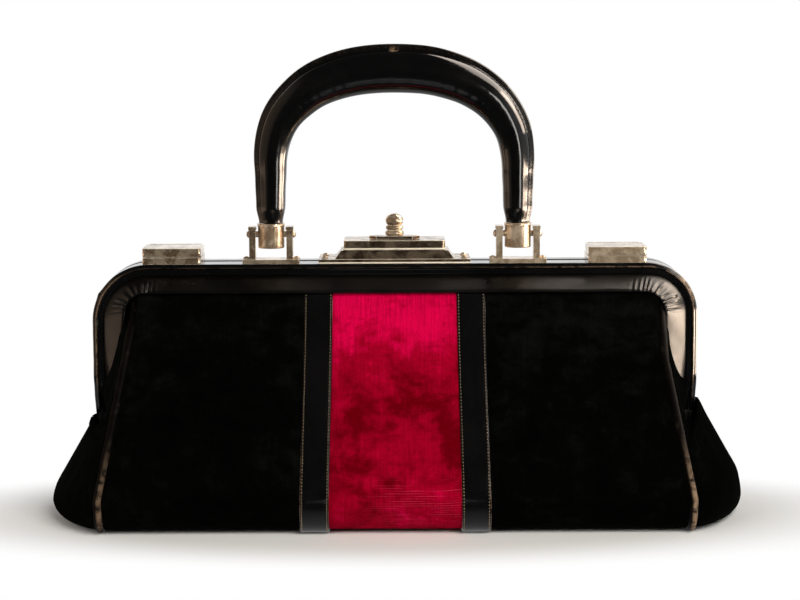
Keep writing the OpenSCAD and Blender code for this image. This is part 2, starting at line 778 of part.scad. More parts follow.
catch_base(1);  // right_catch_base
catch_pin(-1);  // left_catch_pin
catch_pin(1);  // right_catch_pin
clasp_hasp();
clasp_slide_plate();
clasp_knob();
clasp_bolt();
catch_flap(-1);  // left_catch_flap
catch_flap(1);  // right_catch_flap
handle_cover();
handle_core();
ferrule(-1);  // left_ferrule
ferrule(1);  // right_ferrule
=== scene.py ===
"""Looks of a framed velvet handbag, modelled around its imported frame."""
import json
import logging
import math
from dataclasses import dataclass, field
from enum import Enum
from functools import reduce
from typing import Callable

import bmesh
import bpy
from mathutils import Matrix, Vector, noise


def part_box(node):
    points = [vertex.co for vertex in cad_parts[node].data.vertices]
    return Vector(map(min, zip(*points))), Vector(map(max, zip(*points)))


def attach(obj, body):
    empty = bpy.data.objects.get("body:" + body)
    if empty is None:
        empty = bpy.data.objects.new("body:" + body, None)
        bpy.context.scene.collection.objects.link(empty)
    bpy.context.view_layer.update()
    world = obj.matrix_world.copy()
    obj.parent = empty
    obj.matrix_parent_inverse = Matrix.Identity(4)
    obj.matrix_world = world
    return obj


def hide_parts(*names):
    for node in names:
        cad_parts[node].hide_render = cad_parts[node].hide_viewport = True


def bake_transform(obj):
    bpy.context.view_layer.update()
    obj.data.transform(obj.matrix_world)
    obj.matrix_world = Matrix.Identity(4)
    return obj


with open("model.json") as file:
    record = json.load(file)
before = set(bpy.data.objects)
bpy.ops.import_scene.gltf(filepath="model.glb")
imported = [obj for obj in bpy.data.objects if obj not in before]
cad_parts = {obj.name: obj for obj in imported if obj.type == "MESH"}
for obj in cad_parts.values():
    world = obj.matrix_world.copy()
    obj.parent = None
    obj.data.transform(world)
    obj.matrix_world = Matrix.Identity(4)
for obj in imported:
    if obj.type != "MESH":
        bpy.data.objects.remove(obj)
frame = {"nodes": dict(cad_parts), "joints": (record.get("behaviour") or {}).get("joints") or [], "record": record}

LOG = logging.getLogger("handbag")
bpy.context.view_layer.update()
MM = 0.001
Pair = tuple[float, float]
Triple = tuple[float, float, float]
Socket = bpy.types.NodeSocket
Material = bpy.types.Material
Object = bpy.types.Object
BMesh = bmesh.types.BMesh
Value = float | Triple | Socket
Place = Callable[[float, float], Vector]
Shade = Callable[[float, float], float]
Row = tuple[Vector, Vector, float]


class Way(Enum):
    """A direction on the bag, as the sign of an axis."""

    @property
    def word(self) -> str:
        """The direction's name for piece names."""
        return self.name.lower()


class Side(Way):
    """The two ends of the bag, as the sign of X."""

    LEFT = -1
    RIGHT = 1


class Face(Way):
    """The front and the rear of the bag, as the sign of Y."""

    FRONT = -1
    REAR = 1

    @property
    def jaw(self) -> str:
        """The body of the jaw on this face."""
        return f"{self.word}_jaw"


def mix(a: float, b: float, t: float) -> float:
    """A value between a and b."""
    return a + (b - a) * t


def step(low: float, high: float, x: float) -> float:
    """A smooth change from 0 at low to 1 at high, where high may be the lesser."""
    t = min(max((x - low) / (high - low), 0.0), 1.0)
    return t * t * (3.0 - 2.0 * t)


def wave(x: float, y: float, scale: float, seed: float = 0.0) -> float:
    """Soft noise from -1 to 1 over two lengths in metres."""
    return noise.noise(Vector((x * scale, y * scale, seed)))


def spline(points: list[Vector], t: float) -> Vector:
    """A smooth curve through points.

    Args:
        points: the points to pass through.
        t: place along the curve, 0 to 1.

    Returns:
        The point at t.
    """
    spans = len(points) - 1
    i = min(int(t * spans), spans - 1)
    f = t * spans - i
    p0, p1 = points[max(i - 1, 0)], points[i]
    p2, p3 = points[i + 1], points[min(i + 2, spans)]
    return 0.5 * (2 * p1 + (p2 - p0) * f + (2 * p0 - 5 * p1 + 4 * p2 - p3) * f ** 2
                  + (3 * p1 - p0 - 3 * p2 + p3) * f ** 3)


class Nodes:
    """Short calls for building a tree of shader nodes."""

    def __init__(self, tree: bpy.types.NodeTree, space: str) -> None:
        """Works in a tree, with coordinates of the named space."""
        self.tree = tree
        self.place = self.add("TexCoord").outputs[space]

    def add(self, kind: str, inputs: dict[str | int, Value] | None = None, **settings: str) -> bpy.types.Node:
        """Adds a node.

        Args:
            kind: the node's type.
            inputs: values or sockets, by the input's name or number.
            settings: the node's own settings.

        Returns:
            The node.
        """
        node = self.tree.nodes.new(f"ShaderNode{kind}")
        for name, setting in settings.items():
            setattr(node, name, setting)
        for name, value in (inputs or {}).items():
            self.feed(node.inputs[name], value)
        return node

    def feed(self, socket: Socket, value: Value) -> None:
        """Links a socket, or sets its value.

        Args:
            socket: the input to fill.
            value: an output socket, a number or a colour.
        """
        if isinstance(value, Socket):
            self.tree.links.new(value, socket)
        elif isinstance(value, tuple) and socket.type == "RGBA":
            socket.default_value = (*value, 1.0)
        else:
            socket.default_value = value

    def stretch(self, *scale: float) -> Socket:
        """Coordinates scaled along X, Y and Z."""
        return self.add("Mapping", {"Scale": scale, "Vector": self.place}).outputs["Vector"]

    def grain(self, scale: float, detail: float = 3.0, rough: float = 0.5, bend: float = 0.0,
              vector: Socket | None = None) -> Socket:
        """Noise from 0 to 1.

        Args:
            scale: repeats per metre.
            detail: octaves of finer noise.
            rough: share of the finer octaves.
            bend: distortion.
            vector: coordinates, the tree's own if none.

        Returns:
            The noise's factor.
        """
        return self.add("TexNoise", {"Vector": vector or self.place, "Scale": scale, "Detail": detail,
                                     "Roughness": rough, "Distortion": bend}).outputs["Fac"]

    def cells(self, scale: float) -> Socket:
        """Distance to the edges of irregular cells."""
        node = self.add("TexVoronoi", {"Vector": self.place, "Scale": scale}, feature="DISTANCE_TO_EDGE")
        return node.outputs["Distance"]

    def span(self, value: Socket, low: float, high: float, to_low: Value = 0.0,
             to_high: Value = 1.0) -> Socket:
        """Maps a range onto another, smoothly and clamped."""
        inputs = dict(enumerate((value, low, high, to_low, to_high)))
        return self.add("MapRange", inputs, interpolation_type="SMOOTHSTEP").outputs["Result"]

    def math(self, operation: str, *values: Value) -> Socket:
        """Takes one value after another through an operation of two."""
        return reduce(lambda a, b: self.add("Math", {0: a, 1: b}, operation=operation).outputs[0], values)

    def product(self, *values: Value) -> Socket:
        """The values multiplied."""
        return self.math("MULTIPLY", *values)

    def total(self, *values: Value) -> Socket:
        """The values added up."""
        return self.math("ADD", *values)

    def most(self, *values: Value) -> Socket:
        """The greatest of the values."""
        return self.math("MAXIMUM", *values)

    def blend(self, factor: Value, a: Value, b: Value) -> Socket:
        """A mix of two colours."""
        return self.add("Mix", {0: factor, 6: a, 7: b}, data_type="RGBA").outputs[2]

    def axis(self, name: str) -> Socket:
        """One of the coordinates."""
        return self.add("SeparateXYZ", {0: self.place}).outputs[name]

    def painted(self, name: str) -> Socket:
        """A value stored on the mesh."""
        return self.add("Attribute", attribute_name=name).outputs["Fac"]

    def ray(self, kind: str) -> Socket:
        """Whether the light followed is of a kind: Camera, Glossy or Transmission."""
        return self.add("LightPath").outputs[f"Is {kind} Ray"]


class Surface(Nodes):
    """A material with one Principled shader, in the object's own metres."""

    def __init__(self, name: str) -> None:
        """Starts the material."""
        self.material = bpy.data.materials.new(name)
        self.material.use_nodes = True
        self.material.node_tree.nodes.clear()
        super().__init__(self.material.node_tree, "Object")
        self.shader = self.add("BsdfPrincipled")
        self.output = self.add("OutputMaterial", {0: self.shader.outputs[0]})

    def set(self, **values: Value) -> None:
        """Sets or links the shader's sockets, named with _ for a space."""
        for name, value in values.items():
            self.feed(self.shader.inputs[name.replace("_", " ")], value)

    def relief(self, *layers: tuple[Socket, float, float]) -> None:
        """Stacks bumps on the shader's normal.

        Args:
            layers: height, strength and depth in metres of each bump.
        """
        below: dict[str, Socket] = {}
        for height, strength, depth in layers:
            bump = self.add("Bump", {"Height": height, "Strength": strength, "Distance": depth, **below})
            below = {"Normal": bump.outputs["Normal"]}
        self.set(**below)


@dataclass(frozen=True)
class Velvet:
    """Cut pile with crushed patches, and painted sheen that makes it lighter high up and to the right."""

    name: str
    deep: Triple
    usual: Triple
    bright: Triple
    sheen: Triple
    sheen_weight: float
    # height and width over which painted sheen lifts the pile, and its lift at each end
    brushed_z: Pair = (60 * MM, 105 * MM)
    brushed_x: Pair = (-160 * MM, 100 * MM)
    brushed_lift: Pair = (0.035, 0.085)

    def material(self) -> Material:
        """Builds the pile's colour, crush marks and nap."""
        t = Surface(self.name)
        crush = t.grain(34.0, detail=8.0, rough=0.66, bend=0.5)
        patches = t.grain(105.0, detail=6.0, rough=0.68, bend=0.3, vector=t.stretch(0.8, 1.0, 1.1))
        tone = self.shaded(t, t.total(t.product(crush, 0.52), t.product(patches, 0.48)))
        colour = t.blend(t.span(tone, 0.34, 0.52), self.deep, self.usual)
        colour = t.blend(t.span(tone, 0.50, 0.68), colour, self.bright)
        tufts = t.grain(2600.0, detail=2.0, rough=0.6)
        rows = t.grain(1.0, detail=2.0, rough=0.6, vector=t.stretch(2100.0, 60.0, 60.0))
        nap = t.total(t.product(tufts, 0.5), t.product(rows, 0.5))
        colour = t.blend(t.span(nap, 0.44, 0.58, 0.0, 0.40), colour, self.deep)
        t.set(Base_Color=self.bared(t, colour), Roughness=0.95, Sheen_Weight=self.sheen_weight,
              Sheen_Roughness=0.38, Sheen_Tint=self.sheen, Specular_IOR_Level=0.0)
        t.relief((crush, 0.35, 2.0 * MM), (patches, 0.3, 1.0 * MM), (nap, 0.18, 0.3 * MM))
        return t.material

    def shaded(self, t: Surface, tone: Socket) -> Socket:
        """Lifts the pile's tone high up, most at the right, as painted sheen."""
        # painted sheen: the tone rises with height, more towards the right
        across = t.span(t.axis("X"), *self.brushed_x, *self.brushed_lift)
        return t.total(tone, t.product(t.span(t.axis("Z"), *self.brushed_z), across))

    def bared(self, t: Surface, colour: Socket) -> Socket:
        """The colour as it is: this pile is whole."""
        return colour


@dataclass(frozen=True)
class WornVelvet(Velvet):
    """Pile with painted sheen that makes it bright at the top, darker at mid height, and worn to its threads low
    down.
    """

    ragged: float = 50 * MM
    slant_x: Pair = (-30 * MM, 30 * MM)
    slant: Pair = (6 * MM, -6 * MM)
    # heights and lift of the painted sheen above the ragged line
    bright_z: Pair = (88 * MM, 136 * MM)
    bright_lift: float = 0.135
    dark_z: Pair = (4 * MM, 40 * MM)
    dark_lift: Pair = (0.02, -0.065)
    dark_end: Pair = (88 * MM, 120 * MM)
    thread: Triple = (0.52, 0.045, 0.095)
    thread_gap: float = 1.25 * MM
    thread_share: float = 0.50
    bare_from: Pair = (3 * MM, 9 * MM)
    bare_to: Pair = (23 * MM, 32 * MM)
    bare_x: Pair = (-22 * MM, 4 * MM)
    bare_y: Pair = (-45 * MM, -50 * MM)

    def shaded(self, t: Surface, tone: Socket) -> Socket:
        """Paints sheen that makes the pile brighter above a ragged line, and makes it darker at mid height."""
        height = t.axis("Z")
        line = t.total(height, t.product(t.grain(42.0, detail=6.0, rough=0.66), self.ragged),
                       t.span(t.axis("X"), *self.slant_x, *self.slant))
        # painted sheen: the pile brightens above the ragged line
        top = t.span(line, *self.bright_z, 0.0, self.bright_lift)
        middle = t.product(t.span(height, *self.dark_z, *self.dark_lift),
                           t.span(line, *self.dark_end, 1.0, 0.0))
        return t.total(tone, top, middle)

    def bared(self, t: Surface, colour: Socket) -> Socket:
        """Pale weft threads where the pile has worn off, low on the front's right half."""
        height = t.axis("Z")
        bent = t.total(height, t.product(t.grain(40.0, detail=2.0), 0.3 * MM))
        lines = t.span(t.math("SINE", t.product(bent, 2 * math.pi / self.thread_gap), 0.0), 0.72, 1.0)
        broken = t.grain(1.0, detail=3.0, rough=0.6, vector=t.stretch(34.0, 1.0, 520.0))
        zone = t.product(t.span(height, *self.bare_from), t.span(height, *self.bare_to, 1.0, 0.0),
                         t.span(t.axis("X"), *self.bare_x), t.span(t.axis("Y"), *self.bare_y))
        worn = t.product(lines, t.span(broken, 0.42, 0.58), zone, self.thread_share)
        return t.blend(worn, colour, self.thread)


@dataclass(frozen=True)
class Leather:
    """Dyed leather, from patent to matt, with wear that shows the hide."""

    name: str
    base: Triple
    worn: Triple
    gloss: Pair
    coat: float
    grain: float
    wear: float
    scuffs: float = 0.0
    shine: float = 0.5
    dents: float = 0.12
    coat_rough: float = 0.06
    bare_rough: float = 0.25
    fading: float = 1.7

    def material(self) -> Material:
        """Builds the dye, the painted wear, the scuffs and the grain."""
        t = Surface(self.name)
        broad = t.grain(45.0, detail=4.0, rough=0.6, bend=0.4)
        fine = t.grain(700.0, detail=4.0, rough=0.62)
        patchy = t.span(t.grain(230.0, detail=4.0, rough=0.7), 0.36, 0.58)
        rubbed = t.product(t.painted("wear"), patchy, self.wear)
        spots = t.product(t.span(t.grain(160.0, detail=5.0, rough=0.7), 0.56, 0.70), self.scuffs)
        bare = t.most(rubbed, spots)
        dye = t.blend(t.span(broad, 0.3, 0.7), self.base, tuple(self.fading * c for c in self.base))
        rough = t.total(t.span(broad, 0.3, 0.7, *self.gloss), t.product(bare, self.bare_rough))
        t.set(Base_Color=t.blend(bare, dye, self.worn), Specular_IOR_Level=self.shine, Roughness=rough,
              Coat_Weight=self.coat, Coat_Roughness=self.coat_rough)
        t.relief((broad, self.dents, 1.2 * MM), (fine, self.grain, 0.18 * MM),
                 (t.cells(900.0), self.grain, 0.12 * MM), (rubbed, 0.4, 0.2 * MM))
        return t.material


@dataclass(frozen=True)
class Brass:
    """Pale brass, scratched and tarnished brown in patches, with painted light towards the right, where the
    tarnish thins and the metal turns more diffuse.
    """

    name: str
    bright: Triple
    tarnish: Triple
    cover: float
    gloss: Pair
    # right and metal: tarnish share and metallic at the right end, lowered there as painted light
    right: float
    metal: Pair = (0.82, 0.62)
    reach: Pair = (-120 * MM, 120 * MM)

    def material(self) -> Material:
        """Builds the metal, its tarnish, pits and scratches, and the painted light towards the right."""
        t = Surface(self.name)
        cloud = t.grain(150.0, detail=7.0, rough=0.70, bend=0.3)
        pits = t.grain(1700.0, detail=3.0, rough=0.6)
        marks = t.grain(1.0, detail=2.0, vector=t.stretch(260.0, 900.0, 2600.0))
        tarnish_and_painted_light = t.total(t.product(t.span(cloud, 0.42, 0.58), self.cover),
                       t.product(t.span(pits, 0.60, 0.72), 0.3 * self.cover))
        # painted light: the tarnish fades towards the right
        tarnish_and_painted_light = t.product(tarnish_and_painted_light, t.span(t.axis("X"), *self.reach, 1.0, self.right))
        colour = t.blend(tarnish_and_painted_light, self.bright, self.tarnish)
        colour = t.blend(t.span(marks, 0.66, 0.74, 0.0, 0.35), colour, self.bright)
        # painted light: less metallic towards the right, so the lamps light it brighter there
        t.set(Base_Color=colour, Metallic=t.span(t.axis("X"), *self.reach, *self.metal),
              Roughness=t.span(cloud, 0.3, 0.7, *self.gloss))
        t.relief((marks, 0.05, 0.05 * MM), (pits, 0.04, 0.05 * MM), (cloud, 0.01, 0.3 * MM))
        return t.material


@dataclass(frozen=True)
class Plain:
    """A quiet finish for thread, enamel, board and lining."""

    name: str
    base: Triple
    second: Triple
    rough: float
    scale: float
    weave: float = 0.0

    def material(self) -> Material:
        """Builds two mixed tones, with a plain weave where asked."""
        t = Surface(self.name)
        tone = t.span(t.grain(self.scale, detail=4.0, rough=0.6), 0.35, 0.65)
        t.set(Base_Color=t.blend(tone, self.base, self.second), Roughness=self.rough)
        layers = [(t.grain(self.scale * 6.0), 0.2, 0.2 * MM)]
        if self.weave:
            weft = t.stretch(self.weave, self.weave, self.weave * 0.3)
            layers.append((t.grain(1.0, detail=1.0, rough=0.4, vector=weft), 0.5, 0.2 * MM))
        t.relief(*layers)
        return t.material


FINISHES = (
    # each velvet's bright tone shows in random patches and where painted sheen lifts the pile
    Velvet("black_velvet", deep=(0.0005, 0.0005, 0.0005), usual=(0.0011, 0.0011, 0.0010),
           bright=(0.0034, 0.0040, 0.0033), sheen=(0.80, 0.90, 0.80), sheen_weight=0.008),
    WornVelvet("crimson_velvet", deep=(0.105, 0.0, 0.003), usual=(0.290, 0.0005, 0.015),
               bright=(0.61, 0.0012, 0.056), sheen=(1.0, 0.15, 0.34), sheen_weight=0.07),
    Leather("patent_leather", base=(0.0013, 0.0012, 0.0012), worn=(0.40, 0.26, 0.16), gloss=(0.10, 0.20),
            coat=0.35, grain=0.04, wear=0.9),
    Leather("facing_leather", base=(0.0012, 0.0009, 0.0007), worn=(0.05, 0.033, 0.024), gloss=(0.27, 0.37),
            coat=0.06, grain=0.08, wear=0.5, dents=0.04),
    Leather("piping_leather", base=(0.0015, 0.0011, 0.0009), worn=(0.30, 0.20, 0.13), gloss=(0.40, 0.55),
            coat=0.0, grain=0.25, wear=1.0, scuffs=0.03, shine=0.06),
    # right and metal set each brass's painted light towards the right
    Brass("brass", bright=(0.78, 0.63, 0.45), tarnish=(0.26, 0.17, 0.10), cover=0.9, gloss=(0.11, 0.20),
          right=0.75),
    Brass("dark_brass", bright=(0.66, 0.50, 0.34), tarnish=(0.15, 0.095, 0.06), cover=1.0, gloss=(0.12, 0.22),
          right=0.9, metal=(0.93, 0.90)),
    Brass("satin_brass", bright=(0.80, 0.65, 0.47), tarnish=(0.34, 0.23, 0.14), cover=0.9, gloss=(0.18, 0.30),
          right=0.9, metal=(0.70, 0.66)),
    # worn brass edges, pale and little metallic so that they stay bright at any angle: wear and painted highlight
    Brass("bright_brass", bright=(0.95, 0.86, 0.70), tarnish=(0.66, 0.53, 0.37), cover=0.3,
          gloss=(0.16, 0.28), right=0.9, metal=(0.35, 0.30)),
    Plain("frame_steel", (0.004, 0.004, 0.004), (0.010, 0.009, 0.008), rough=0.6, scale=150.0),
    Plain("base_board", (0.30, 0.22, 0.14), (0.40, 0.31, 0.20), rough=0.9, scale=200.0),
    Plain("lining_cloth", (0.12, 0.085, 0.06), (0.19, 0.14, 0.10), rough=0.9, scale=60.0, weave=1600.0),
    Plain("edge_thread", (0.22, 0.155, 0.090), (0.46, 0.34, 0.20), rough=0.7, scale=700.0),
    Plain("welt_thread", (0.004, 0.0035, 0.003), (0.010, 0.008, 0.007), rough=0.5, scale=700.0),
)


class Workshop:
    """Makes finished pieces from meshes and keeps the materials they share."""

    def __init__(self) -> None:
        """Builds every finish once."""
        self.materials = {finish.name: finish.material() for finish in FINISHES}

    def piece(self, name: str, bm: BMesh, finish: str, slot: str | None = None) -> Object:
        """Turns a mesh into a piece of the bag.

        Args:
            name: the piece's name.
            bm: its mesh, which is freed.
            finish: the name of its finish.
            slot: the record's slot, which is not used.

        Returns:
            The new object.
        """
        mesh = bpy.data.meshes.new(name)
        bm.to_mesh(mesh)
        bm.free()
        mesh.materials.append(self.materials[finish])
        piece = bpy.data.objects.new(name, mesh)
        bpy.context.scene.collection.objects.link(piece)
        LOG.info("%s: %d faces", name, len(mesh.polygons))
        return piece


def loft(cols: int, rows: int, place: Place, size: Pair, shade: Shade | None = None,
         flip: bool = False, closed: bool = False) -> BMesh:
    """Lays a grid of faces over a surface.

    Args:
        cols: faces across.
        rows: faces along.
        place: the surface's point at (across, along), each 0 to 1.
        size: width and length in metres, for the UV map.
        shade: wear from 0 to 1 at each place.
        flip: turn the faces round.
        closed: join the first column to the last and fill the ends, as on a tube.

    Returns:
        The mesh.
    """
    bm = bmesh.new()
    uv = bm.loops.layers.uv.new("flat")
    wear = bm.verts.layers.float.new("wear")
    bmesh.ops.create_grid(bm, x_segments=cols, y_segments=rows, size=0.5, calc_uvs=True)
    for face in bm.faces:
        face.smooth = True
        for loop in face.loops:
            loop[uv].uv = (loop[uv].uv[0] * size[0], loop[uv].uv[1] * size[1])
    for vert in bm.verts:
        u, v = vert.co.x + 0.5, vert.co.y + 0.5
        vert.co = place(u, v)
        vert[wear] = shade(u, v) if shade else 0.0
    if closed:
        bmesh.ops.remove_doubles(bm, verts=bm.verts, dist=1e-6)
        bmesh.ops.holes_fill(bm, edges=bm.edges)
        bmesh.ops.recalc_face_normals(bm, faces=bm.faces)
    elif flip:
        bmesh.ops.reverse_faces(bm, faces=bm.faces)
    return bm


def add_stitch(bm: BMesh, at: Vector, along: Vector, out: Vector, length: float, thick: float) -> None:
    """Adds one stitch of thread, half sunk in the leather.

    Args:
        bm: the mesh that takes it.
        at: its middle.
        along: the seam's direction.
        out: the way out of the leather.
        length: its length.
        thick: the thread's thickness.
    """
    across = out.cross(along).normalized()
    turn = Matrix((along.normalized(), across, out.normalized())).transposed().to_4x4()
    shape = Matrix.Diagonal((length / 2, thick / 2, thick / 2, 1.0))
    made = bmesh.ops.create_uvsphere(bm, u_segments=6, v_segments=4, radius=1.0,
                                     matrix=Matrix.Translation(at) @ turn @ shape)
    for face in {f for v in made["verts"] for f in v.link_faces}:
        face.smooth = True


def thicken(piece: Object, thickness: float) -> None:
    """Gives a sheet its thickness, inwards from the face that shows."""
    solid = piece.modifiers.new("thickness", "SOLIDIFY")
    solid.thickness = thickness
    solid.offset = -1.0
    solid.use_even_offset = False


def follow_jaw(piece: Object, face: Face) -> None:
    """Bakes a soft piece's placement into its mesh."""
    face.jaw
    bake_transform(piece)


def cloth_sheet(piece: Object, width: float, length: float) -> None:
    """Works out the cut of a sewn panel of cloth, whose length is at least the panel's area over its width; the
    result is not kept.
    """
    area = sum(p.area for p in piece.data.polygons)
    spare = 1.002
    max(length, spare * area / width)


@dataclass(frozen=True)
class Wrap:
    """The bent outline that the walls and the base share, worked out from the solids."""

    half_len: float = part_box("front_jaw_cover")[1].x
    frame_top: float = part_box("front_jaw_cover")[1].z
    velvet_top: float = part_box("left_strap")[1].z
    half_depth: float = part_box("left_strap")[1].y
    base_half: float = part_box("right_velvet_panel")[1].x
    strap_in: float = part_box("right_strap")[0].x
    strap_out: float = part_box("right_strap")[1].x
    hinge_z: float = frame["joints"][0]["pos_m"][2]
    corner: float = 18.0 * MM
    mouth: float = 23.5 * MM
    top_inset: float = 26.5 * MM
    upright_z: Pair = (98.0 * MM, 82.0 * MM)
    upright_bend: float = 6.0 * MM
    splay: Pair = (1.2 * MM, -0.72 * MM)
    tuck_up: float = 1.6 * MM

    @property
    def half_strap(self) -> float:
        """Half the width of a strap."""
        return (self.strap_out - self.strap_in) / 2

    @property
    def corner_f(self) -> float:
        """Depth of the corner's centre."""
        return self.half_depth - self.corner

    @property
    def lean(self) -> float:
        """Angle of the wall's outward normal above the horizon."""
        run, rise = self.corner_f - self.mouth, self.velvet_top - self.corner
        return math.atan2(run, rise) + math.asin(self.corner / math.hypot(run, rise))

    @property
    def lengths(self) -> Triple:
        """Lengths of half the base, the corner and the wall."""
        tangent_z = self.corner * (1.0 + math.sin(self.lean))
        wall = (self.velvet_top - tangent_z) / math.cos(self.lean) + self.tuck_up
        return self.corner_f, self.corner * (self.lean + math.pi / 2), wall

    @property
    def total(self) -> float:
        """Length from the middle of the base to the mouth."""
        return sum(self.lengths)

    def at(self, s: float, inset: float) -> tuple[float, float, float, float]:
        """A point of the outline.

        Args:
            s: length from the middle of the base.
            inset: distance in from the strap's face.

        Returns:
            Depth, height, and the outward normal's depth and height.
        """
        base, arc, _ = self.lengths
        if s < base:
            return s, inset, 0.0, -1.0
        a = min(s - base, arc) / self.corner - math.pi / 2
        nf, nz = math.cos(a), math.sin(a)
        r, up = self.corner - inset, max(s - base - arc, 0.0)
        return self.corner_f + r * nf - up * nz, self.corner + r * nz + up * nf, nf, nz

    def seam_x(self, s: float) -> float:
        """The strap's middle at length s: a little wider apart at the base than at the mouth."""
        rise = step(self.lengths[0], self.total, s)
        return (self.strap_in + self.strap_out) / 2 + mix(*self.splay, rise)

    def wall_f(self, z: float) -> float:
        """Depth of the strap's face on the wall at height z."""
        return self.mouth + (self.velvet_top - z) * math.tan(self.lean)

    def edge_x(self, z: float, side: Side = Side.RIGHT) -> float:
        """Half the width at an end's seams at height z."""
        slope = (self.base_half - self.half_len + self.top_inset) / (self.velvet_top - self.corner)
        rise = max(z - self.corner, 0.0)
        over = max(z - self.upright_z[0 if side is Side.LEFT else 1], 0.0)
        return self.base_half - slope * (rise - over ** 2 / (over + self.upright_bend))


@dataclass
class Body:
    """The velvet walls and base with their straps and piping."""

    shop: Workshop
    wrap: Wrap
    velvet_in: float = 1.5 * MM
    velvet_thick: float = 1.6 * MM
    hem: float = 1.0 * MM
    puff: float = 1.2 * MM
    sag: float = 2.0 * MM
    crush: float = 0.7 * MM
    swell_room: Pair = (-0.5 * MM, 9.0 * MM)
    swell_end: float = 7.0 * MM
    flush: float = 1.55 * MM
    flush_room: Pair = (-0.7 * MM, 0.9 * MM)
    flush_end: float = 3.0 * MM
    mouth_hold: float = 16.0 * MM
    strap_thick: float = 1.2 * MM
    strap_roll: float = 0.45 * MM
    strap_crown: Pair = (3.0 * MM, 0.06 * MM)
    strap_wear: Pair = (0.30, 0.95)
    stitch_pitch: float = 1.6 * MM
    stitch_size: Pair = (0.75 * MM, 0.44 * MM)
    stitch_inset: float = 0.95 * MM
    stitch_start: float = 9.0 * MM
    piping_r: float = 2.2 * MM
    piping_gap: float = 0.3 * MM
    piping_sink: float = 3.4 * MM
    piping_dive: Pair = (92.0 * MM, 107.0 * MM)
    piping_lumps: float = 0.05
    piping_wear: Pair = (0.50, 0.95)

    def build(self) -> None:
        """Builds both faces of the body."""
        for face in Face:
            self.velvet(face)
            for side in Side:
                self.velvet(face, side)
                self.strap(side, face)
                self.stitches(side, face)
                self.piping(side, face)

    def velvet(self, face: Face, side: Side | None = None) -> None:
        """Builds half of a panel, from the middle of the base up to the mouth.

        Args:
            face: front or rear.
            side: the end that a black panel reaches, or none for the crimson one.
        """
        w, crimson = self.wrap, side is None
        seed = face.value + (-1 if crimson else side.value)

        def place(u: float, v: float) -> Vector:
            """The panel's face, which swells between its seams."""
            s = v * w.total
            seam = w.seam_x(s)
            x, outer = mix(-seam, seam, u), math.inf
            if not crimson:
                edge = w.edge_x(w.at(s, self.piping_r)[1], side) + self.hem
                x = mix(seam, edge, u) if side is Side.RIGHT else mix(-edge, -seam, u)
                outer = edge - abs(x)
            room = abs(abs(x) - seam) - w.half_strap
            lift = step(*self.swell_room, room) * step(0.0, self.swell_end, outer)
            level = step(*self.flush_room, room) * step(0.0, self.flush_end, outer)
            f, z, nf, nz = w.at(s, self.velvet_in)
            loose = step(-0.6, 0.3, nz) * step(0.0, self.mouth_hold, w.total - s)
            hang = self.sag * math.sin(math.pi * v) ** 2 + self.crush * wave(x + 0.3, s, 28.0, seed)
            swell = loose * (self.flush * level + lift * (self.puff + hang))
            return Vector((x, face.value * (f + swell * nf), z + swell * nz))

        finish = "crimson_velvet" if crimson else "black_velvet"
        node = "crimson_velvet_panel" if crimson else f"{side.word}_velvet_panel"
        width = 2 * w.seam_x(0.0) if crimson else w.base_half + self.hem - w.seam_x(w.total)
        bm = loft(56 if crimson else 72, 120, place, (width, w.total), flip=face is Face.REAR)
        piece = self.shop.piece(f"{node}_{face.word}", bm, finish)
        thicken(piece, self.velvet_thick)
        follow_jaw(piece, face)
        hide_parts(node)
        cloth_sheet(piece, width, w.total)

    def strap_middle(self, side: Side, s: float) -> float:
        """The strap's middle in X, at a length from the middle of the base."""
        return side.value * self.wrap.seam_x(s)

    def strap(self, side: Side, face: Face) -> None:
        """Builds half of a leather strap with rolled edges."""
        w, half, r, low = self.wrap, self.wrap.half_strap, self.strap_roll, -self.strap_thick
        crown_in, crown = self.strap_crown
        edge = [(half, low), (half, -r), (half - 0.3 * r, -0.3 * r), (half - r, 0.0),
                (half - crown_in, crown)]
        section = [(-x, y) for x, y in edge] + [(0.0, 0.0)] + edge[::-1] + [(0.0, low)]
        count = len(section)

        def place(u: float, v: float) -> Vector:
            """The strap's skin."""
            x, rise = section[round(u * count) % count]
            f, z, _, _ = w.at(v * w.total, -rise)
            return Vector((self.strap_middle(side, v * w.total) + x, face.value * f, z))

        def wear(u: float, v: float) -> float:
            """Rubbed edges low down, more on the outer one."""
            across = section[round(u * count) % count][0] / half * side.value
            rim = self.strap_wear[1 if across > 0 else 0]
            return step(0.97, 1.0, abs(across)) * rim * step(0.66, 0.42, v)

        bm = loft(count, 110, place, (2 * half, w.total), wear, closed=True)
        name = f"{side.word}_strap"
        piece = self.shop.piece(f"{name}_{face.word}", bm, "patent_leather")
        follow_jaw(piece, face)
        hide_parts(name)

    def stitches(self, side: Side, face: Face) -> None:
        """Sews both edges of a strap."""
        w, bm = self.wrap, bmesh.new()
        half = w.half_strap - self.stitch_inset
        base = w.lengths[0] + self.stitch_start
        for i in range(int((w.total - base) / self.stitch_pitch)):
            s = base + i * self.stitch_pitch
            f, z, nf, nz = w.at(s, -self.strap_crown[1])
            out, along = Vector((0.0, face.value * nf, nz)), Vector((0.0, -face.value * nz, nf))
            for edge in (-half, half):
                at = Vector((self.strap_middle(side, s) + edge, face.value * f, z))
                add_stitch(bm, at, along, out, *self.stitch_size)
        name = f"{side.word}_strap_stitches_{face.word}"
        piece = self.shop.piece(name, bm, "edge_thread", "patent_leather")
        follow_jaw(piece, face)

    def piping(self, side: Side, face: Face) -> None:
        """Builds half of the corded piping along an end seam."""
        w, r = self.wrap, self.piping_r

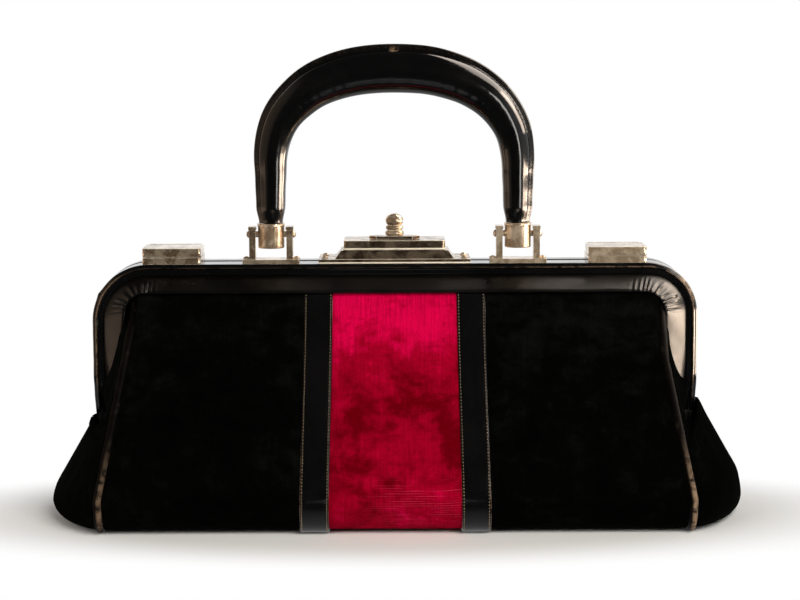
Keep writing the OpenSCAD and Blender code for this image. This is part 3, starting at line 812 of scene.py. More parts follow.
        def place(u: float, v: float) -> Vector:
            """The cord's lumpy skin, which dives under the facing high up."""
            s, a = v * w.total, 2 * math.pi * u
            sunk = self.piping_sink * step(*self.piping_dive, w.at(s, r)[1])
            f, z, nf, nz = w.at(s, r + sunk)
            seam = w.edge_x(z, side) + self.piping_gap + r
            lump = r * (1.0 + self.piping_lumps * wave(s, a * 0.002, 160.0, side.value + face.value))
            return Vector((side.value * (seam + lump * math.cos(a)),
                           face.value * (f + lump * math.sin(a) * nf), z + lump * math.sin(a) * nz))

        def wear(u: float, v: float) -> float:
            """A rubbed crest low down, more at the right end."""
            low = self.piping_wear[1 if side is Side.RIGHT else 0]
            crest = math.sin(2 * math.pi * u + 0.5 * side.value)
            return step(0.60, 0.98, crest) * mix(low, 0.0, step(0.34, 0.60, v))

        bm = loft(16, 150, place, (2 * math.pi * r, w.total), wear, closed=True)
        name = f"{side.word}_piping"
        piece = self.shop.piece(f"{name}_{face.word}", bm, "piping_leather")
        follow_jaw(piece, face)
        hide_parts(name)


@dataclass
class FacingEdge:
    """Where the leather facing ends on the velvet."""

    wrap: Wrap
    jaw_height: float = 6.2 * MM
    tip_in: float = 0.6 * MM
    tip_rise: float = 15.0 * MM
    top_drop: float = 12.4 * MM
    corner_x: float = 121.8 * MM
    corner_r: float = 11.0 * MM
    side_depth: Pair = (16.0 * MM, 23.8 * MM)
    taper: Pair = (1.6, 2.6)

    @property
    def leg_in(self) -> float:
        """The inner face of the jaw's leg."""
        return self.wrap.half_len - self.jaw_height

    @property
    def tip_z(self) -> float:
        """Height of the facing's lower tip."""
        return self.wrap.hinge_z + self.tip_rise

    @property
    def top_z(self) -> float:
        """Height of the straight top edge."""
        return self.wrap.frame_top - self.top_drop

    @property
    def side_z(self) -> float:
        """Height at which the corner turns into the side."""
        return self.top_z - self.corner_r

    def side(self, z: float, side: Side) -> Vector:
        """The edge down an end's side at height z, as on the right front."""
        t = min(max((z - self.tip_z) / (self.side_z - self.tip_z), 0.0), 1.0)
        share = 1.0 - (1.0 - t) ** self.taper[0 if side is Side.LEFT else 1]
        x = mix(self.leg_in + self.tip_in, self.corner_x + self.corner_r, share)
        return Vector((x, -mix(*self.side_depth, t ** 0.6), z))


@dataclass
class Gussets:
    """The velvet ends, which swell out past the base and tuck under the facings.

    The rows are worked out for the right front; low_fold holds each end's fold as millimetres in from
    the widest point and up from the base.
    """

    shop: Workshop
    wrap: Wrap
    edge: FacingEdge
    swell_x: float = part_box("right_gusset")[1].x
    hem: Pair = (5.0 * MM, 1.0 * MM)
    velvet_in: Pair = (1.5 * MM, 4.0 * MM)
    dive: float = 14.0 * MM
    thick: float = 1.4 * MM
    cut: Pair = (78.0 * MM, 150.0 * MM)
    slack: float = 0.5
    low_fold: dict[Side, tuple[Pair, ...]] = field(default_factory=lambda: {
        Side.LEFT: ((7.8, 1.7), (3.0, 3.2), (1.4, 6.2), (1.4, 9.5), (2.4, 13.6), (4.3, 18.2)),
        Side.RIGHT: ((6.3, 1.7), (1.7, 3.6), (0.1, 7.5), (0.1, 12.0), (1.0, 17.5), (2.7, 23.4))})
    fold_top: dict[Side, float] = field(default_factory=lambda: {Side.LEFT: -0.6 * MM, Side.RIGHT: 8.2 * MM})

    def seam_at(self, z: float, side: Side) -> Vector:
        """The seam beside an end's piping on the wall, at height z; high up it dives under the facing."""
        under = step(self.edge.side_z - self.dive, self.edge.side_z, z)
        x = self.wrap.edge_x(z, side) + mix(*self.hem, under)
        return Vector((x, -self.wrap.wall_f(z) + mix(*self.velvet_in, under), z))

    def corner_rows(self, side: Side) -> list[Row]:
        """Rows round the bag's lower corner, which end on the low fold."""
        w, r = self.wrap, self.wrap.corner - self.velvet_in[0]
        ends = [Vector((w.base_half + self.hem[0] + 2.0 * MM, 0.0, self.velvet_in[0]))]
        ends += [Vector((self.swell_x - inset * MM, 0.0, z * MM)) for inset, z in self.low_fold[side]]
        rows = []
        for i, end in enumerate(ends):
            a = mix(-math.pi / 2, w.lean, i / (len(ends) - 1))
            z = w.corner + r * math.sin(a)
            seam = Vector((w.edge_x(z, side) + self.hem[0], -w.corner_f - r * math.cos(a), z))
            rows.append((seam, end, self.slack))
        return rows

    def fold_rows(self, side: Side, low: Row, count: int = 4) -> list[Row]:
        """Rows up the wall from a low row, which end on the fold below the hinge."""
        hinge = self.wrap.hinge_z
        top = Vector((self.wrap.half_len + 2.0 * MM, 0.0, hinge + self.fold_top[side]))
        shares = [(i + 1) / count for i in range(count)]
        return [(self.seam_at(mix(low[0].z, hinge - 6.0 * MM, t), side), low[1].lerp(top, t), self.slack)
                for t in shares]

    def turn_rows(self, side: Side) -> list[Row]:
        """Rows at the hinge, where the fold turns in behind the jaw's foot and is pulled straight."""
        out, leg, hinge = self.wrap.half_len, self.edge.leg_in, self.wrap.hinge_z
        turns = ((out + 2.4 * MM, 7.0 * MM, -3.2 * MM), (out + 0.5 * MM, 13.2 * MM, -2.5 * MM),
                 (leg + 2.5 * MM, 14.6 * MM, -1.0 * MM), (leg - 1.6 * MM, 14.6 * MM, 2.0 * MM))
        rows = []
        for i, (x, depth, rise) in enumerate(turns):
            seam = self.seam_at(hinge + (-4.0 + 2.2 * i) * MM, side)
            rows.append((seam, Vector((x, -depth, hinge + rise)), mix(self.slack, 1.0, (i + 1) / len(turns))))
        return rows

    def lap_rows(self, side: Side, count: int = 7) -> list[Row]:
        """Straight rows up to the mouth, which end under the facing's side."""
        w, e = self.wrap, self.edge
        rows = []
        for i in range(count):
            t = i / (count - 1)
            seam = self.seam_at(mix(w.hinge_z + 6.0 * MM, w.velvet_top - 1.0 * MM, t), side)
            z = mix(e.tip_z, w.velvet_top - 3.0 * MM, t)
            high = step(e.side_z - 8.0 * MM, e.side_z + 1.0 * MM, z)
            under = Vector((mix(2.0, -1.0, high), mix(3.6, 7.5, high), 0)) * MM
            rows.append((seam, e.side(z, side) + under, 1.0))
        return rows

    def build(self) -> None:
        """Builds both halves of both ends."""
        for side in Side:
            rows = self.corner_rows(side)
            rows += self.fold_rows(side, rows[-1]) + self.turn_rows(side) + self.lap_rows(side)
            for face in Face:
                self.half(side, face, rows)

    def half(self, side: Side, face: Face, rows: list[Row]) -> None:
        """Builds one half of an end.

        Args:
            side: left or right end.
            face: front or rear half.
            rows: each row's seam end, its fold or lap end, and how straight it lies.
        """
        seam, ends = [row[0] for row in rows], [row[1] for row in rows]
        straight = [Vector((row[2], 0, 0)) for row in rows]

        def place(u: float, v: float) -> Vector:
            """The velvet between the seam and the fold, with soft waves."""
            e, m, k = spline(seam, v), spline(ends, v), spline(straight, v).x
            c = mix(math.sin(math.pi / 2 * u), u, k)
            s = mix(math.cos(math.pi / 2 * u), 1 - u, k)
            p = Vector((mix(e.x, m.x, c), mix(m.y, e.y, s), mix(e.z, m.z, c)))
            fold = 0.8 * MM * math.sin(math.pi * u) * step(0.08, 0.25, v)
            p.x += fold * wave(p.y * 2.5, p.z, 38.0, 3.0 * side.value + face.value)
            return Vector((side.value * p.x, -face.value * p.y, p.z))

        flip = (side is Side.LEFT) != (face is Face.REAR)
        bm = loft(28, 96, place, self.cut, flip=flip)
        name = f"{side.word}_gusset"
        piece = self.shop.piece(f"{name}_{face.word}", bm, "black_velvet")
        thicken(piece, self.thick)
        follow_jaw(piece, face)
        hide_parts(name)
        cloth_sheet(piece, *self.cut)


@dataclass
class Lining:
    """The brown cloth inside, as a front and a rear half that meet at mid depth."""

    shop: Workshop
    wrap: Wrap
    inset: float = 5.4 * MM
    end_inset: float = 4.0 * MM
    base_inset: float = 1.0 * MM
    wall_z: float = 24.0 * MM
    jaw_in: float = 20.0 * MM
    floor_share: float = 0.2
    end_share: float = 0.18
    gather: float = 0.55
    gather_drop: float = 12.0 * MM
    floor_z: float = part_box("lining")[0].z
    top_z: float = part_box("front_jaw_cover")[1].z - 9 * MM

    def build(self) -> None:
        """Builds both halves."""
        for face in Face:
            self.half(face)

    def depth_at(self, z: float) -> float:
        """Depth of the cloth at height z: round the corner, up the wall and gathered at the mouth."""
        w = self.wrap
        depth = min(w.wall_f(max(z, self.wall_z)), w.half_depth - self.base_inset)
        if z < w.corner:
            depth = min(depth, w.corner_f + math.sqrt(w.corner ** 2 - (w.corner - max(z, 0.0)) ** 2))
        gathered = self.gather * step(w.velvet_top - self.gather_drop, self.top_z, z)
        return (depth - self.inset) * (1.0 - gathered)

    def half(self, face: Face) -> None:
        """Builds one half: the floor, then the end, wall and end at each height."""
        w, floor, end = self.wrap, self.floor_share, self.end_share

        def place(u: float, v: float) -> Vector:
            """The cloth's face, with soft waves on the walls."""
            z = mix(self.floor_z, self.top_z, max(v - floor, 0.0) / (1 - floor))
            depth = self.depth_at(z) * min(v / floor, 1.0)
            half = min(w.edge_x(z), w.half_len - self.jaw_in) - self.end_inset
            x = half * min(max((2 * u - 1) / (1 - 2 * end), -1.0), 1.0)
            f = depth * step(0.0, end, min(u, 1 - u))
            if depth > 10 * MM:
                f += 0.8 * MM * wave(x, z, 45.0, face.value) * step(floor, 2 * floor, v)
            return Vector((x, face.value * max(f, 0.0), z))

        width, length = 2 * w.base_half + w.half_depth, w.frame_top + w.half_depth
        bm = loft(90, 60, place, (width, length), flip=face is Face.FRONT)
        piece = self.shop.piece(f"lining_{face.word}", bm, "lining_cloth")
        follow_jaw(piece, face)
        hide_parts("lining")
        cloth_sheet(piece, width, length)


@dataclass
class Jaws:
    """The leather-covered frame, front and rear, with the gathered facings."""

    shop: Workshop
    wrap: Wrap
    edge: FacingEdge
    corner: float = 25.0 * MM
    mate: float = 0.25 * MM
    depth: float = 14.6 * MM
    face_share: float = 0.957
    foot_rise: float = 1.0 * MM
    taper_rise: float = 20.0 * MM
    foot_depth: float = 5.0 * MM
    foot_widen: float = 0.2
    foot_z: Pair = (70.0 * MM, 60.0 * MM)
    left_ease: float = 3.0 * MM
    scar_at: Pair = (-146.2 * MM, 113.5 * MM)
    scar_r: float = 1.7 * MM
    scar_deep: float = 0.5 * MM
    facing_lap: float = 5.5 * MM
    facing_out: float = 2.3 * MM
    facing_foot: float = 12.0 * MM
    facing_thick: float = 0.9 * MM
    facing_shares: Pair = (0.50, 0.78)
    crowding: float = 1.6
    pleat_gap: float = 2.9 * MM
    pleat_size: Pair = (0.60 * MM, 0.70 * MM)

    def build(self) -> None:
        """Builds the covers and facings of both jaws."""
        for face in Face:
            self.cover(face)
            self.facing(face)

    def corner_at(self, side: Side) -> float:
        """Radius of the jaw's corner, which is eased at the left."""
        return self.corner + (self.left_ease if side is Side.LEFT else 0.0)

    @staticmethod
    def quarter(centre: Pair, radii: Pair, start: float, spans: int = 4) -> list[Triple]:
        """A quarter turn of the section, clockwise from an angle, without wear."""
        angles = [start - math.pi / 2 * i / spans for i in range(spans + 1)]
        return [(centre[0] + radii[0] * math.cos(a), centre[1] + radii[1] * math.sin(a), 0.0) for a in angles]

    def section(self) -> list[Triple]:
        """The cover's closed section.

        Returns:
            Points as distance in from the outer face, share of the depth, and wear.
        """
        h, flat, outer_r, inner_r = self.edge.jaw_height, self.face_share, 1.1 * MM, 1.3 * MM
        ridge = [(1.35, 0.966, 0.0), (1.6, 0.992, 0.5), (1.9, 1.0, 1.0), (2.2, 0.990, 0.3),
                 (2.45, 0.966, 0.0), (2.7, 0.955, 0.0), (3.4, flat, 0.0), (4.4, flat, 0.0)]
        points = [(0.0, 0.0, 0.0), (0.0, 0.45, 0.0), (0.0, 0.84, 0.0)]
        points += self.quarter((outer_r, 0.885), (outer_r, 0.075), math.pi)
        points += [(inward * MM, share, wear) for inward, share, wear in ridge]
        points += self.quarter((h - inner_r, 0.870), (inner_r, 0.087), math.pi / 2)
        return points + [(h, 0.5, 0.0), (h, 0.0, 0.0), (h / 2, 0.0, 0.0)]

    def path(self, t: float) -> tuple[Vector, Vector]:
        """The outer line of the jaw.

        Args:
            t: 0 at the left foot to 1 at the right foot.

        Returns:
            The point in the XZ plane and the direction in towards the bag.
        """
        w, side = self.wrap, Side.LEFT if t < 0.5 else Side.RIGHT
        r, sign = self.corner_at(side), side.value
        foot_z = w.hinge_z + self.foot_rise
        leg, arc, top = w.frame_top - r - foot_z, r * math.pi / 2, w.half_len - r
        s = (1.0 - abs(2 * t - 1)) * (leg + arc + top)
        if s < leg:
            return Vector((sign * w.half_len, 0, foot_z + s)), Vector((-sign, 0, 0))
        if s < leg + arc:
            a = (s - leg) / r
            out = Vector((sign * math.cos(a), 0, math.sin(a)))
            return Vector((sign * top, 0, w.frame_top - r)) + r * out, -out
        return Vector((sign * (top - (s - leg - arc)), 0, w.frame_top)), Vector((0, 0, -1))

    def depth_at(self, z: float) -> float:
        """Depth of the cover at height z, tapered at the feet."""
        rise = (z - self.wrap.hinge_z - self.foot_rise) / (self.taper_rise - self.foot_rise)
        return mix(self.foot_depth, self.depth, min(max(rise, 0.0), 1.0) ** 0.8)

    def cover(self, face: Face) -> None:
        """Builds one jaw's leather cover as a swept tube."""
        section = self.section()
        count = len(section)

        def place(u: float, v: float) -> Vector:
            """The cover's skin, with slight dents and the front's scar at the left corner."""
            inward, share, _ = section[round(u * count) % count]
            p, way = self.path(v)
            depth = self.mate + self.depth_at(p.z) * share
            inward *= 1.0 + self.foot_widen * step(*self.foot_z, p.z) * step(3 * MM, 5 * MM, inward)
            dent = 0.12 * MM * wave(v * 0.55, inward, 120.0, face.value) if share > 0.6 else 0.0
            p = p + way * (inward + dent)
            if face is Face.FRONT and share > 0.7 and inward < 2.6 * MM:
                off = math.hypot(p.x - self.scar_at[0], p.z - self.scar_at[1]) / self.scar_r
                p = p - way * (self.scar_deep * math.exp(-off ** 2))
            return Vector((p.x, face.value * depth, p.z))

        def wear(u: float, v: float) -> float:
            """A rubbed seam ridge, and bare leather on the front's right corner."""
            p, _ = self.path(v)
            inward, share, ridge = section[round(u * count) % count]
            drop = self.wrap.frame_top - p.z
            along_top = 0.06 + 0.30 * step(0.02, 0.12, p.x)
            seam = ridge * mix(along_top, 0.42, step(2 * MM, 8 * MM, drop)) * step(74 * MM, 50 * MM, drop)
            corner = step(5 * MM, 9 * MM, drop) * step(22 * MM, 14 * MM, drop)
            bare = 0.9 if face is Face.FRONT and p.x > 0 else 0.08
            return max(seam, bare * corner * step(0.80, 0.90, share) * step(2.0 * MM, 1.4 * MM, inward))

        bm = loft(count, 260, place, (42 * MM, 0.47), wear, closed=True)
        name = f"{face.word}_jaw_cover"
        piece = self.shop.piece(f"{name}_leather", bm, "patent_leather")
        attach(piece, face.jaw)
        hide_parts(name)

    def facing_ends(self, h: float, side: Side) -> tuple[Vector, Vector, Vector]:
        """A column of a front facing's half, as on the right.

        Args:
            h: 0 at the middle of the top to 1 at the tip.
            side: the end that it reaches.

        Returns:
            The end lapped on the jaw, the free end and the way out.
        """
        w, e, corner = self.wrap, self.edge, self.corner_at(side)
        lap_y = -(self.mate + self.depth * self.face_share + 0.15 * MM)
        front_y = -w.wall_f(e.top_z) - self.facing_out
        top_share, corner_share = self.facing_shares
        if h < top_share:
            t = 1.0 - (1.0 - h / top_share) ** self.crowding
            lap = Vector((t * (w.half_len - corner), lap_y, w.frame_top - self.facing_lap))
            return lap, Vector((t * e.corner_x, front_y, e.top_z)), Vector((0, -0.5, 0.86))
        if h < corner_share:
            a = math.pi / 2 * (h - top_share) / (corner_share - top_share)
            turn = Vector((math.sin(a), 0, math.cos(a)))
            centre = Vector((w.half_len - corner, lap_y, w.frame_top - corner))
            lap = centre + (corner - self.facing_lap) * turn
            free = Vector((e.corner_x, 0, e.side_z)) + e.corner_r * turn
            free.y = mix(front_y, e.side(e.side_z, side).y, turn.x ** 2)
            return lap, free, Vector((0.75 * turn.x, -0.60, 0.84 * turn.z)).normalized()
        t = (h - corner_share) / (1 - corner_share)
        lap = Vector((w.half_len - self.facing_lap, mix(lap_y, -self.facing_foot, t ** 3),
                      mix(w.frame_top - corner, e.tip_z, t)))
        return lap, e.side(mix(e.side_z, e.tip_z, t), side), Vector((0.70, -0.71, 0))

    def along_facing(self, h: float) -> float:
        """Length along a facing's middle from the start of its corner, less than 0 before it."""
        top_share, corner_share = self.facing_shares
        if h < top_share:
            return -(1.0 - h / top_share) ** self.crowding * self.edge.corner_x
        turn = 0.5 * math.pi / 2 * (self.corner - self.facing_lap + self.edge.corner_r)
        return turn * (h - top_share) / (corner_share - top_share)

    def pleat(self, side: Side, h: float, v: float) -> float:
        """Height of the gathers in a facing's corner.

        Args:
            side: the end.
            h: 0 at the middle of the top to 1 at the tip.
            v: 0 at the jaw to 1 at the free edge.

        Returns:
            The rise above the smooth leather.
        """
        run = self.along_facing(h)
        turns = run / self.pleat_gap
        zone = step(-8 * MM, -2 * MM, run) * step(25 * MM, 17 * MM, run)
        size = (0.62 + 0.38 * math.sin(2.3 * turns + 1.0)) * self.pleat_size[0 if side is Side.LEFT else 1]
        ridge = 1.0 - 2.0 * abs(math.sin(math.pi * (turns + 0.35 * math.sin(0.9 * turns))))
        return zone * size * ridge * step(0.12, 0.75, v) * step(1.0, 0.92, v)

    def facing(self, face: Face) -> None:
        """Builds one facing, gathered at the upper corners and turned under at its free edge."""
        def place(u: float, v: float) -> Vector:
            """The leather between the jaw and the free edge."""
            side, h = (Side.LEFT if u < 0.5 else Side.RIGHT), abs(2 * u - 1)
            a, b, out = self.facing_ends(h, side)
            corner = step(*self.facing_shares, h)
            belly = a.lerp(b, 0.55) + mix(0.01, 0.04, corner) * (b - a).length * out
            p = (1 - v) ** 2 * a + 2 * v * (1 - v) * belly + v * v * b
            ripple = 0.15 * MM * v * wave(u * 0.5, v * 0.02, 90.0, face.value)
            p += out * (self.pleat(side, h, v) + ripple - 0.8 * MM * step(0.93, 1.0, v))
            return Vector((side.value * p.x, -face.value * p.y, p.z))

        bm = loft(600, 20, place, (0.40, 16 * MM), flip=face is Face.FRONT)
        name = f"{face.word}_facing"
        piece = self.shop.piece(f"{name}_leather", bm, "facing_leather")
        thicken(piece, self.facing_thick)
        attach(piece, face.jaw)
        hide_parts(name)


@dataclass
class Handle:
    """The rolled patent grip with a sewn welt along its outer edge."""

    shop: Workshop
    pins_x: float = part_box("right_ferrule")[0].x / 2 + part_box("right_ferrule")[1].x / 2
    middle_y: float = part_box("right_ferrule")[0].y / 2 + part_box("right_ferrule")[1].y / 2
    low_z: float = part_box("right_ferrule")[1].z + 0.2 * MM
    high_z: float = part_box("handle_cover")[1].z
    leg_share: float = 0.16
    arch_share: float = 0.37
    arch_power: float = 0.87
    grip_thick: float = 24.0 * MM
    leg_thick: float = 14.3 * MM
    draw_in: float = 0.17
    draw_rise: float = 8.0 * MM
    roll_share: float = 0.44
    roll_shift: float = -0.06
    welt_half: float = 1.7 * MM
    welt_gap: float = math.radians(9)
    welt_wear: float = 0.06
    creases: float = 0.016
    lumps: float = 0.25 * MM
    stations: int = 330
    chip_at: float = 0.5
    chip_half: Pair = (0.0040, 0.0015)
    chip_zone: Pair = (0.34, 0.40)
    stitch_count: int = 104
    stitch_share: float = 0.425
    stitch_size: Pair = (1.4 * MM, 0.26 * MM)
    tacks_at: Pair = (0.035, 0.965)
    tack: Triple = (1.5 * MM, 0.5 * MM, 0.6 * MM)

    @property
    def crown_z(self) -> float:
        """Height of the grip's middle at the crown."""
        return self.high_z - self.grip_thick / 2

    @property
    def arch_z(self) -> float:
        """Height at which the legs turn into the arch."""
        return mix(self.low_z, self.crown_z, self.arch_share)

    def route(self, t: float) -> Vector:
        """The grip's middle line, 0 at the left ferrule to 1 at the right one."""
        leg = self.leg_share
        if t < leg or t > 1 - leg:
            side, share = (-1.0, t / leg) if t < leg else (1.0, (1 - t) / leg)
            return Vector((side * self.pins_x, self.middle_y, mix(self.low_z, self.arch_z, share)))
        a = math.pi * (t - leg) / (1 - 2 * leg)
        across = math.copysign(abs(math.cos(a)) ** self.arch_power, math.cos(a))
        rise = math.sin(a) ** self.arch_power
        return Vector((-self.pins_x * across, self.middle_y, mix(self.arch_z, self.crown_z, rise)))

    def axes(self, t: float) -> tuple[Vector, Vector, float]:
        """The route's point, the way out of the arch and the roll's size there."""
        p, near = self.route(t), 0.004
        d = (self.route(min(t + near, 1.0)) - self.route(max(t - near, 0.0))).normalized()
        out = Vector((-d.z, 0, d.x))
        share = min(max((p.z - self.low_z) / (self.crown_z - self.low_z), 0.0), 1.0)
        waist = 1.0 - self.draw_in * step(self.low_z + self.draw_rise, self.low_z, p.z)
        return p, out, waist * mix(self.leg_thick, self.grip_thick, share ** 1.7)

    def section(self, size: float) -> list[Triple]:
        """A round roll with the flat welt; each point is across, depth and wear."""
        r, c, welt, spans = self.roll_share * size, self.roll_shift * size, self.welt_half, 32
        start = math.asin(welt / r) + self.welt_gap
        angles = [mix(start, 2 * math.pi - start, i / spans) for i in range(spans + 1)]
        roll = [(c + r * math.cos(a), 0.98 * r * math.sin(a), 0.0) for a in angles]
        neck, rim = c + r * 0.96, size / 2
        low = [(neck, -welt, 0.0), (mix(neck, rim, 0.7), -welt, 0.2), (rim - 0.2 * MM, -0.7 * welt, 1.0)]
        return roll + low + [(rim, 0.0, 1.0)] + [(x, -y, k) for x, y, k in reversed(low)]

    def build(self) -> None:
        """Builds the roll, its welt stitches and the two tacks."""
        count = len(self.section(self.grip_thick))

        def place(u: float, v: float) -> Vector:
            """The roll's skin, with creases inside the arch and soft lumps."""
            p, out, size = self.axes(v)
            x, y, _ = self.section(size)[round(u * count) % count]
            inner = step(0.22, -0.15, x / size) * step(-0.50, -0.38, x / size)
            inner *= step(0.12, 0.30, v) * step(0.88, 0.70, v)
            y *= 1.0 + self.creases * inner * wave(v * 0.3, x * 0.30, 260.0, 8.0)
            x += self.lumps * wave(v * 0.25, y, 70.0, 5.0)
            return Vector((p.x + out.x * x, p.y + y, p.z + out.z * x))

        def wear(u: float, v: float) -> float:
            """A faintly rubbed welt, and a chip at the front of its neck."""
            x, y, rubbed = self.section(self.grip_thick)[round(u * count) % count]
            at_neck = self.chip_zone[0] < x / self.grip_thick < self.chip_zone[1] and y < 0
            chip = step(*self.chip_half, abs(v - self.chip_at)) if at_neck else 0.0
            return max(self.welt_wear * rubbed, chip)

        bm = loft(count, self.stations, place, (60 * MM, 0.28), wear, closed=True)
        roll = self.shop.piece("handle_roll", bm, "patent_leather")
        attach(roll, "handle")
        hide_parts("handle_cover")
        self.stitches()
        self.tacks()

    def stitches(self) -> None:
        """Sews the welt through from front to rear."""
        bm = bmesh.new()
        for i in range(2, self.stitch_count - 1):
            p, out, size = self.axes(i / self.stitch_count)
            along = Vector((out.z, 0, -out.x))
            for way in (-1, 1):
                at = p + out * (self.stitch_share * size) + Vector((0, way * (self.welt_half - 0.04 * MM), 0))
                add_stitch(bm, at, along, Vector((0, way, 0)), *self.stitch_size)
        piece = self.shop.piece("handle_welt_stitches", bm, "welt_thread", "patent_leather")
        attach(piece, "handle")

    def tacks(self) -> None:
        """Presses a small diamond tack into the front of each leg."""
        bm = bmesh.new()
        base_r, tip_r, tall = self.tack
        for t in self.tacks_at:
            p, out, size = self.axes(t)
            middle = self.roll_shift * size * math.copysign(1.0, out.x)
            at = p + Vector((middle, -0.43 * size - 0.1 * MM, 0))
            bmesh.ops.create_cone(bm, cap_ends=True, segments=4, radius1=base_r, radius2=tip_r, depth=tall,
                                  matrix=Matrix.Translation(at) @ Matrix.Rotation(math.pi / 2, 4, "X"))
        piece = self.shop.piece("handle_tacks", bm, "welt_thread", "frame_steel")
        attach(piece, "handle")


@dataclass
class Fittings:
    """The solids that keep their own shape: brass, steel and board."""

    shop: Workshop
    edge: float = 0.42 * MM
    wide_edge: float = 0.6 * MM
    thin_edge: float = 0.2 * MM
    crease: float = math.radians(28)
    flatness: float = math.radians(0.6)
    lip_r: float = 0.5 * MM
    lip_rise: float = 0.45 * MM
    lip_short: float = 0.4 * MM
    lips: tuple[tuple[str, str], ...] = (("clasp_front_plate", "front_jaw"), ("clasp_hasp", "hasp"))
    dark: tuple[str, ...] = ("clasp_front_plate", "clasp_rear_plate", "clasp_hasp", "clasp_slide_plate")
    satin: tuple[str, ...] = ("ferrule", "handle_pin", "rivets")
    slots: dict[str, str] = field(default_factory=lambda: {
        part["node"]: part["material_slot"] for part in frame["record"]["subparts"]})

    def dress(self) -> None:
        """Gives every solid that still shows its finish, and the brass its edges, worn and with painted highlight.
        """
        for name, solid in frame["nodes"].items():
            if solid.hide_render:
                continue
            slot = self.slots[name]
            solid.data.materials.clear()
            solid.data.materials.append(self.shop.materials[self.finish(name, slot)])
            if slot == "brass":
                # the bevels take worn brass with a painted highlight
                solid.data.materials.append(self.shop.materials["bright_brass"])
                self.round_edges(solid, self.wide_edge if name in self.dark else self.edge)
            LOG.info("%s: dressed as %s", name, slot)
        for node, body in self.lips:
            self.lip(node, body)

    def lip(self, node: str, body: str) -> None:
        """Rolls a thin lip of worn brass with a painted highlight along the lower front edge of a brass solid.

        Args:
            node: the solid.
            body: the body it moves with.
        """
        low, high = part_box(node)
        bm = bmesh.new()
        at = Vector(((low.x + high.x) / 2, low.y + 0.6 * self.lip_r, low.z + self.lip_rise))
        bmesh.ops.create_cone(bm, cap_ends=True, segments=12, radius1=self.lip_r, radius2=self.lip_r,
                              depth=high.x - low.x - self.lip_short,
                              matrix=Matrix.Translation(at) @ Matrix.Rotation(math.pi / 2, 4, "Y"))
        ends = [e for e in bm.edges if len(e.link_faces) == 2 and e.calc_face_angle(0.0) > 1.0]
        bmesh.ops.bevel(bm, geom=ends, offset=0.3 * self.lip_r, offset_type="OFFSET", affect="EDGES",
                        segments=2, profile=0.5, material=-1)
        for face in bm.faces:
            face.smooth = True
        piece = self.shop.piece(f"{node}_lip", bm, "bright_brass", "brass")
        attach(piece, body)

    def finish(self, name: str, slot: str) -> str:
        """The finish of a solid: its slot's own, or a darker or softer brass."""
        if name in self.dark:
            return "dark_brass"
        soft = slot == "brass" and any(word in name for word in self.satin)
        return "satin_brass" if soft else slot

    def round_edges(self, solid: Object, width: float) -> None:
        """Merges a solid's triangles into faces, splits thin rims again and rounds sharp edges."""
        weld = solid.modifiers.new("weld", "WELD")
        weld.merge_threshold = 0.002 * MM
        flat = solid.modifiers.new("faces", "DECIMATE")
        flat.decimate_type = "DISSOLVE"
        flat.angle_limit = self.flatness
        thin = "catch_flap" in solid.name
        if thin or "catch_base" in solid.name:
            solid.modifiers.new("rims", "TRIANGULATE")
        bevel = solid.modifiers.new("edges", "BEVEL")
        bevel.width = self.thin_edge if thin else width
        bevel.use_clamp_overlap = not thin
        bevel.segments = 2
        bevel.limit_method = "ANGLE"
        bevel.angle_limit = self.crease
        # bevel faces get slot 1, worn brass with a painted highlight
        bevel.material = 1
        bevel.harden_normals = True


@dataclass(frozen=True)
class Softbox:
    """A soft rectangular lamp, for shine on glossy things or for light on matt ones."""

    name: str
    at: Triple
    to: Triple
    size: Pair
    power: float
    colour: Triple = (1.0, 0.96, 0.90)
    shine: bool = True

    def hang(self) -> None:
        """Hangs the lamp in its place, facing its point and out of the camera's sight."""
        data = bpy.data.lights.new(self.name, "AREA")
        data.shape, data.energy, data.color = "RECTANGLE", self.power, self.colour
        data.size, data.size_y = self.size
        lamp = bpy.data.objects.new(self.name, data)
        lamp.location = self.at
        lamp.rotation_euler = (Vector(self.to) - Vector(self.at)).to_track_quat("-Z", "Y").to_euler()
        lamp.visible_camera = False
        lamp.visible_glossy, lamp.visible_diffuse = self.shine, not self.shine
        bpy.context.scene.collection.objects.link(lamp)


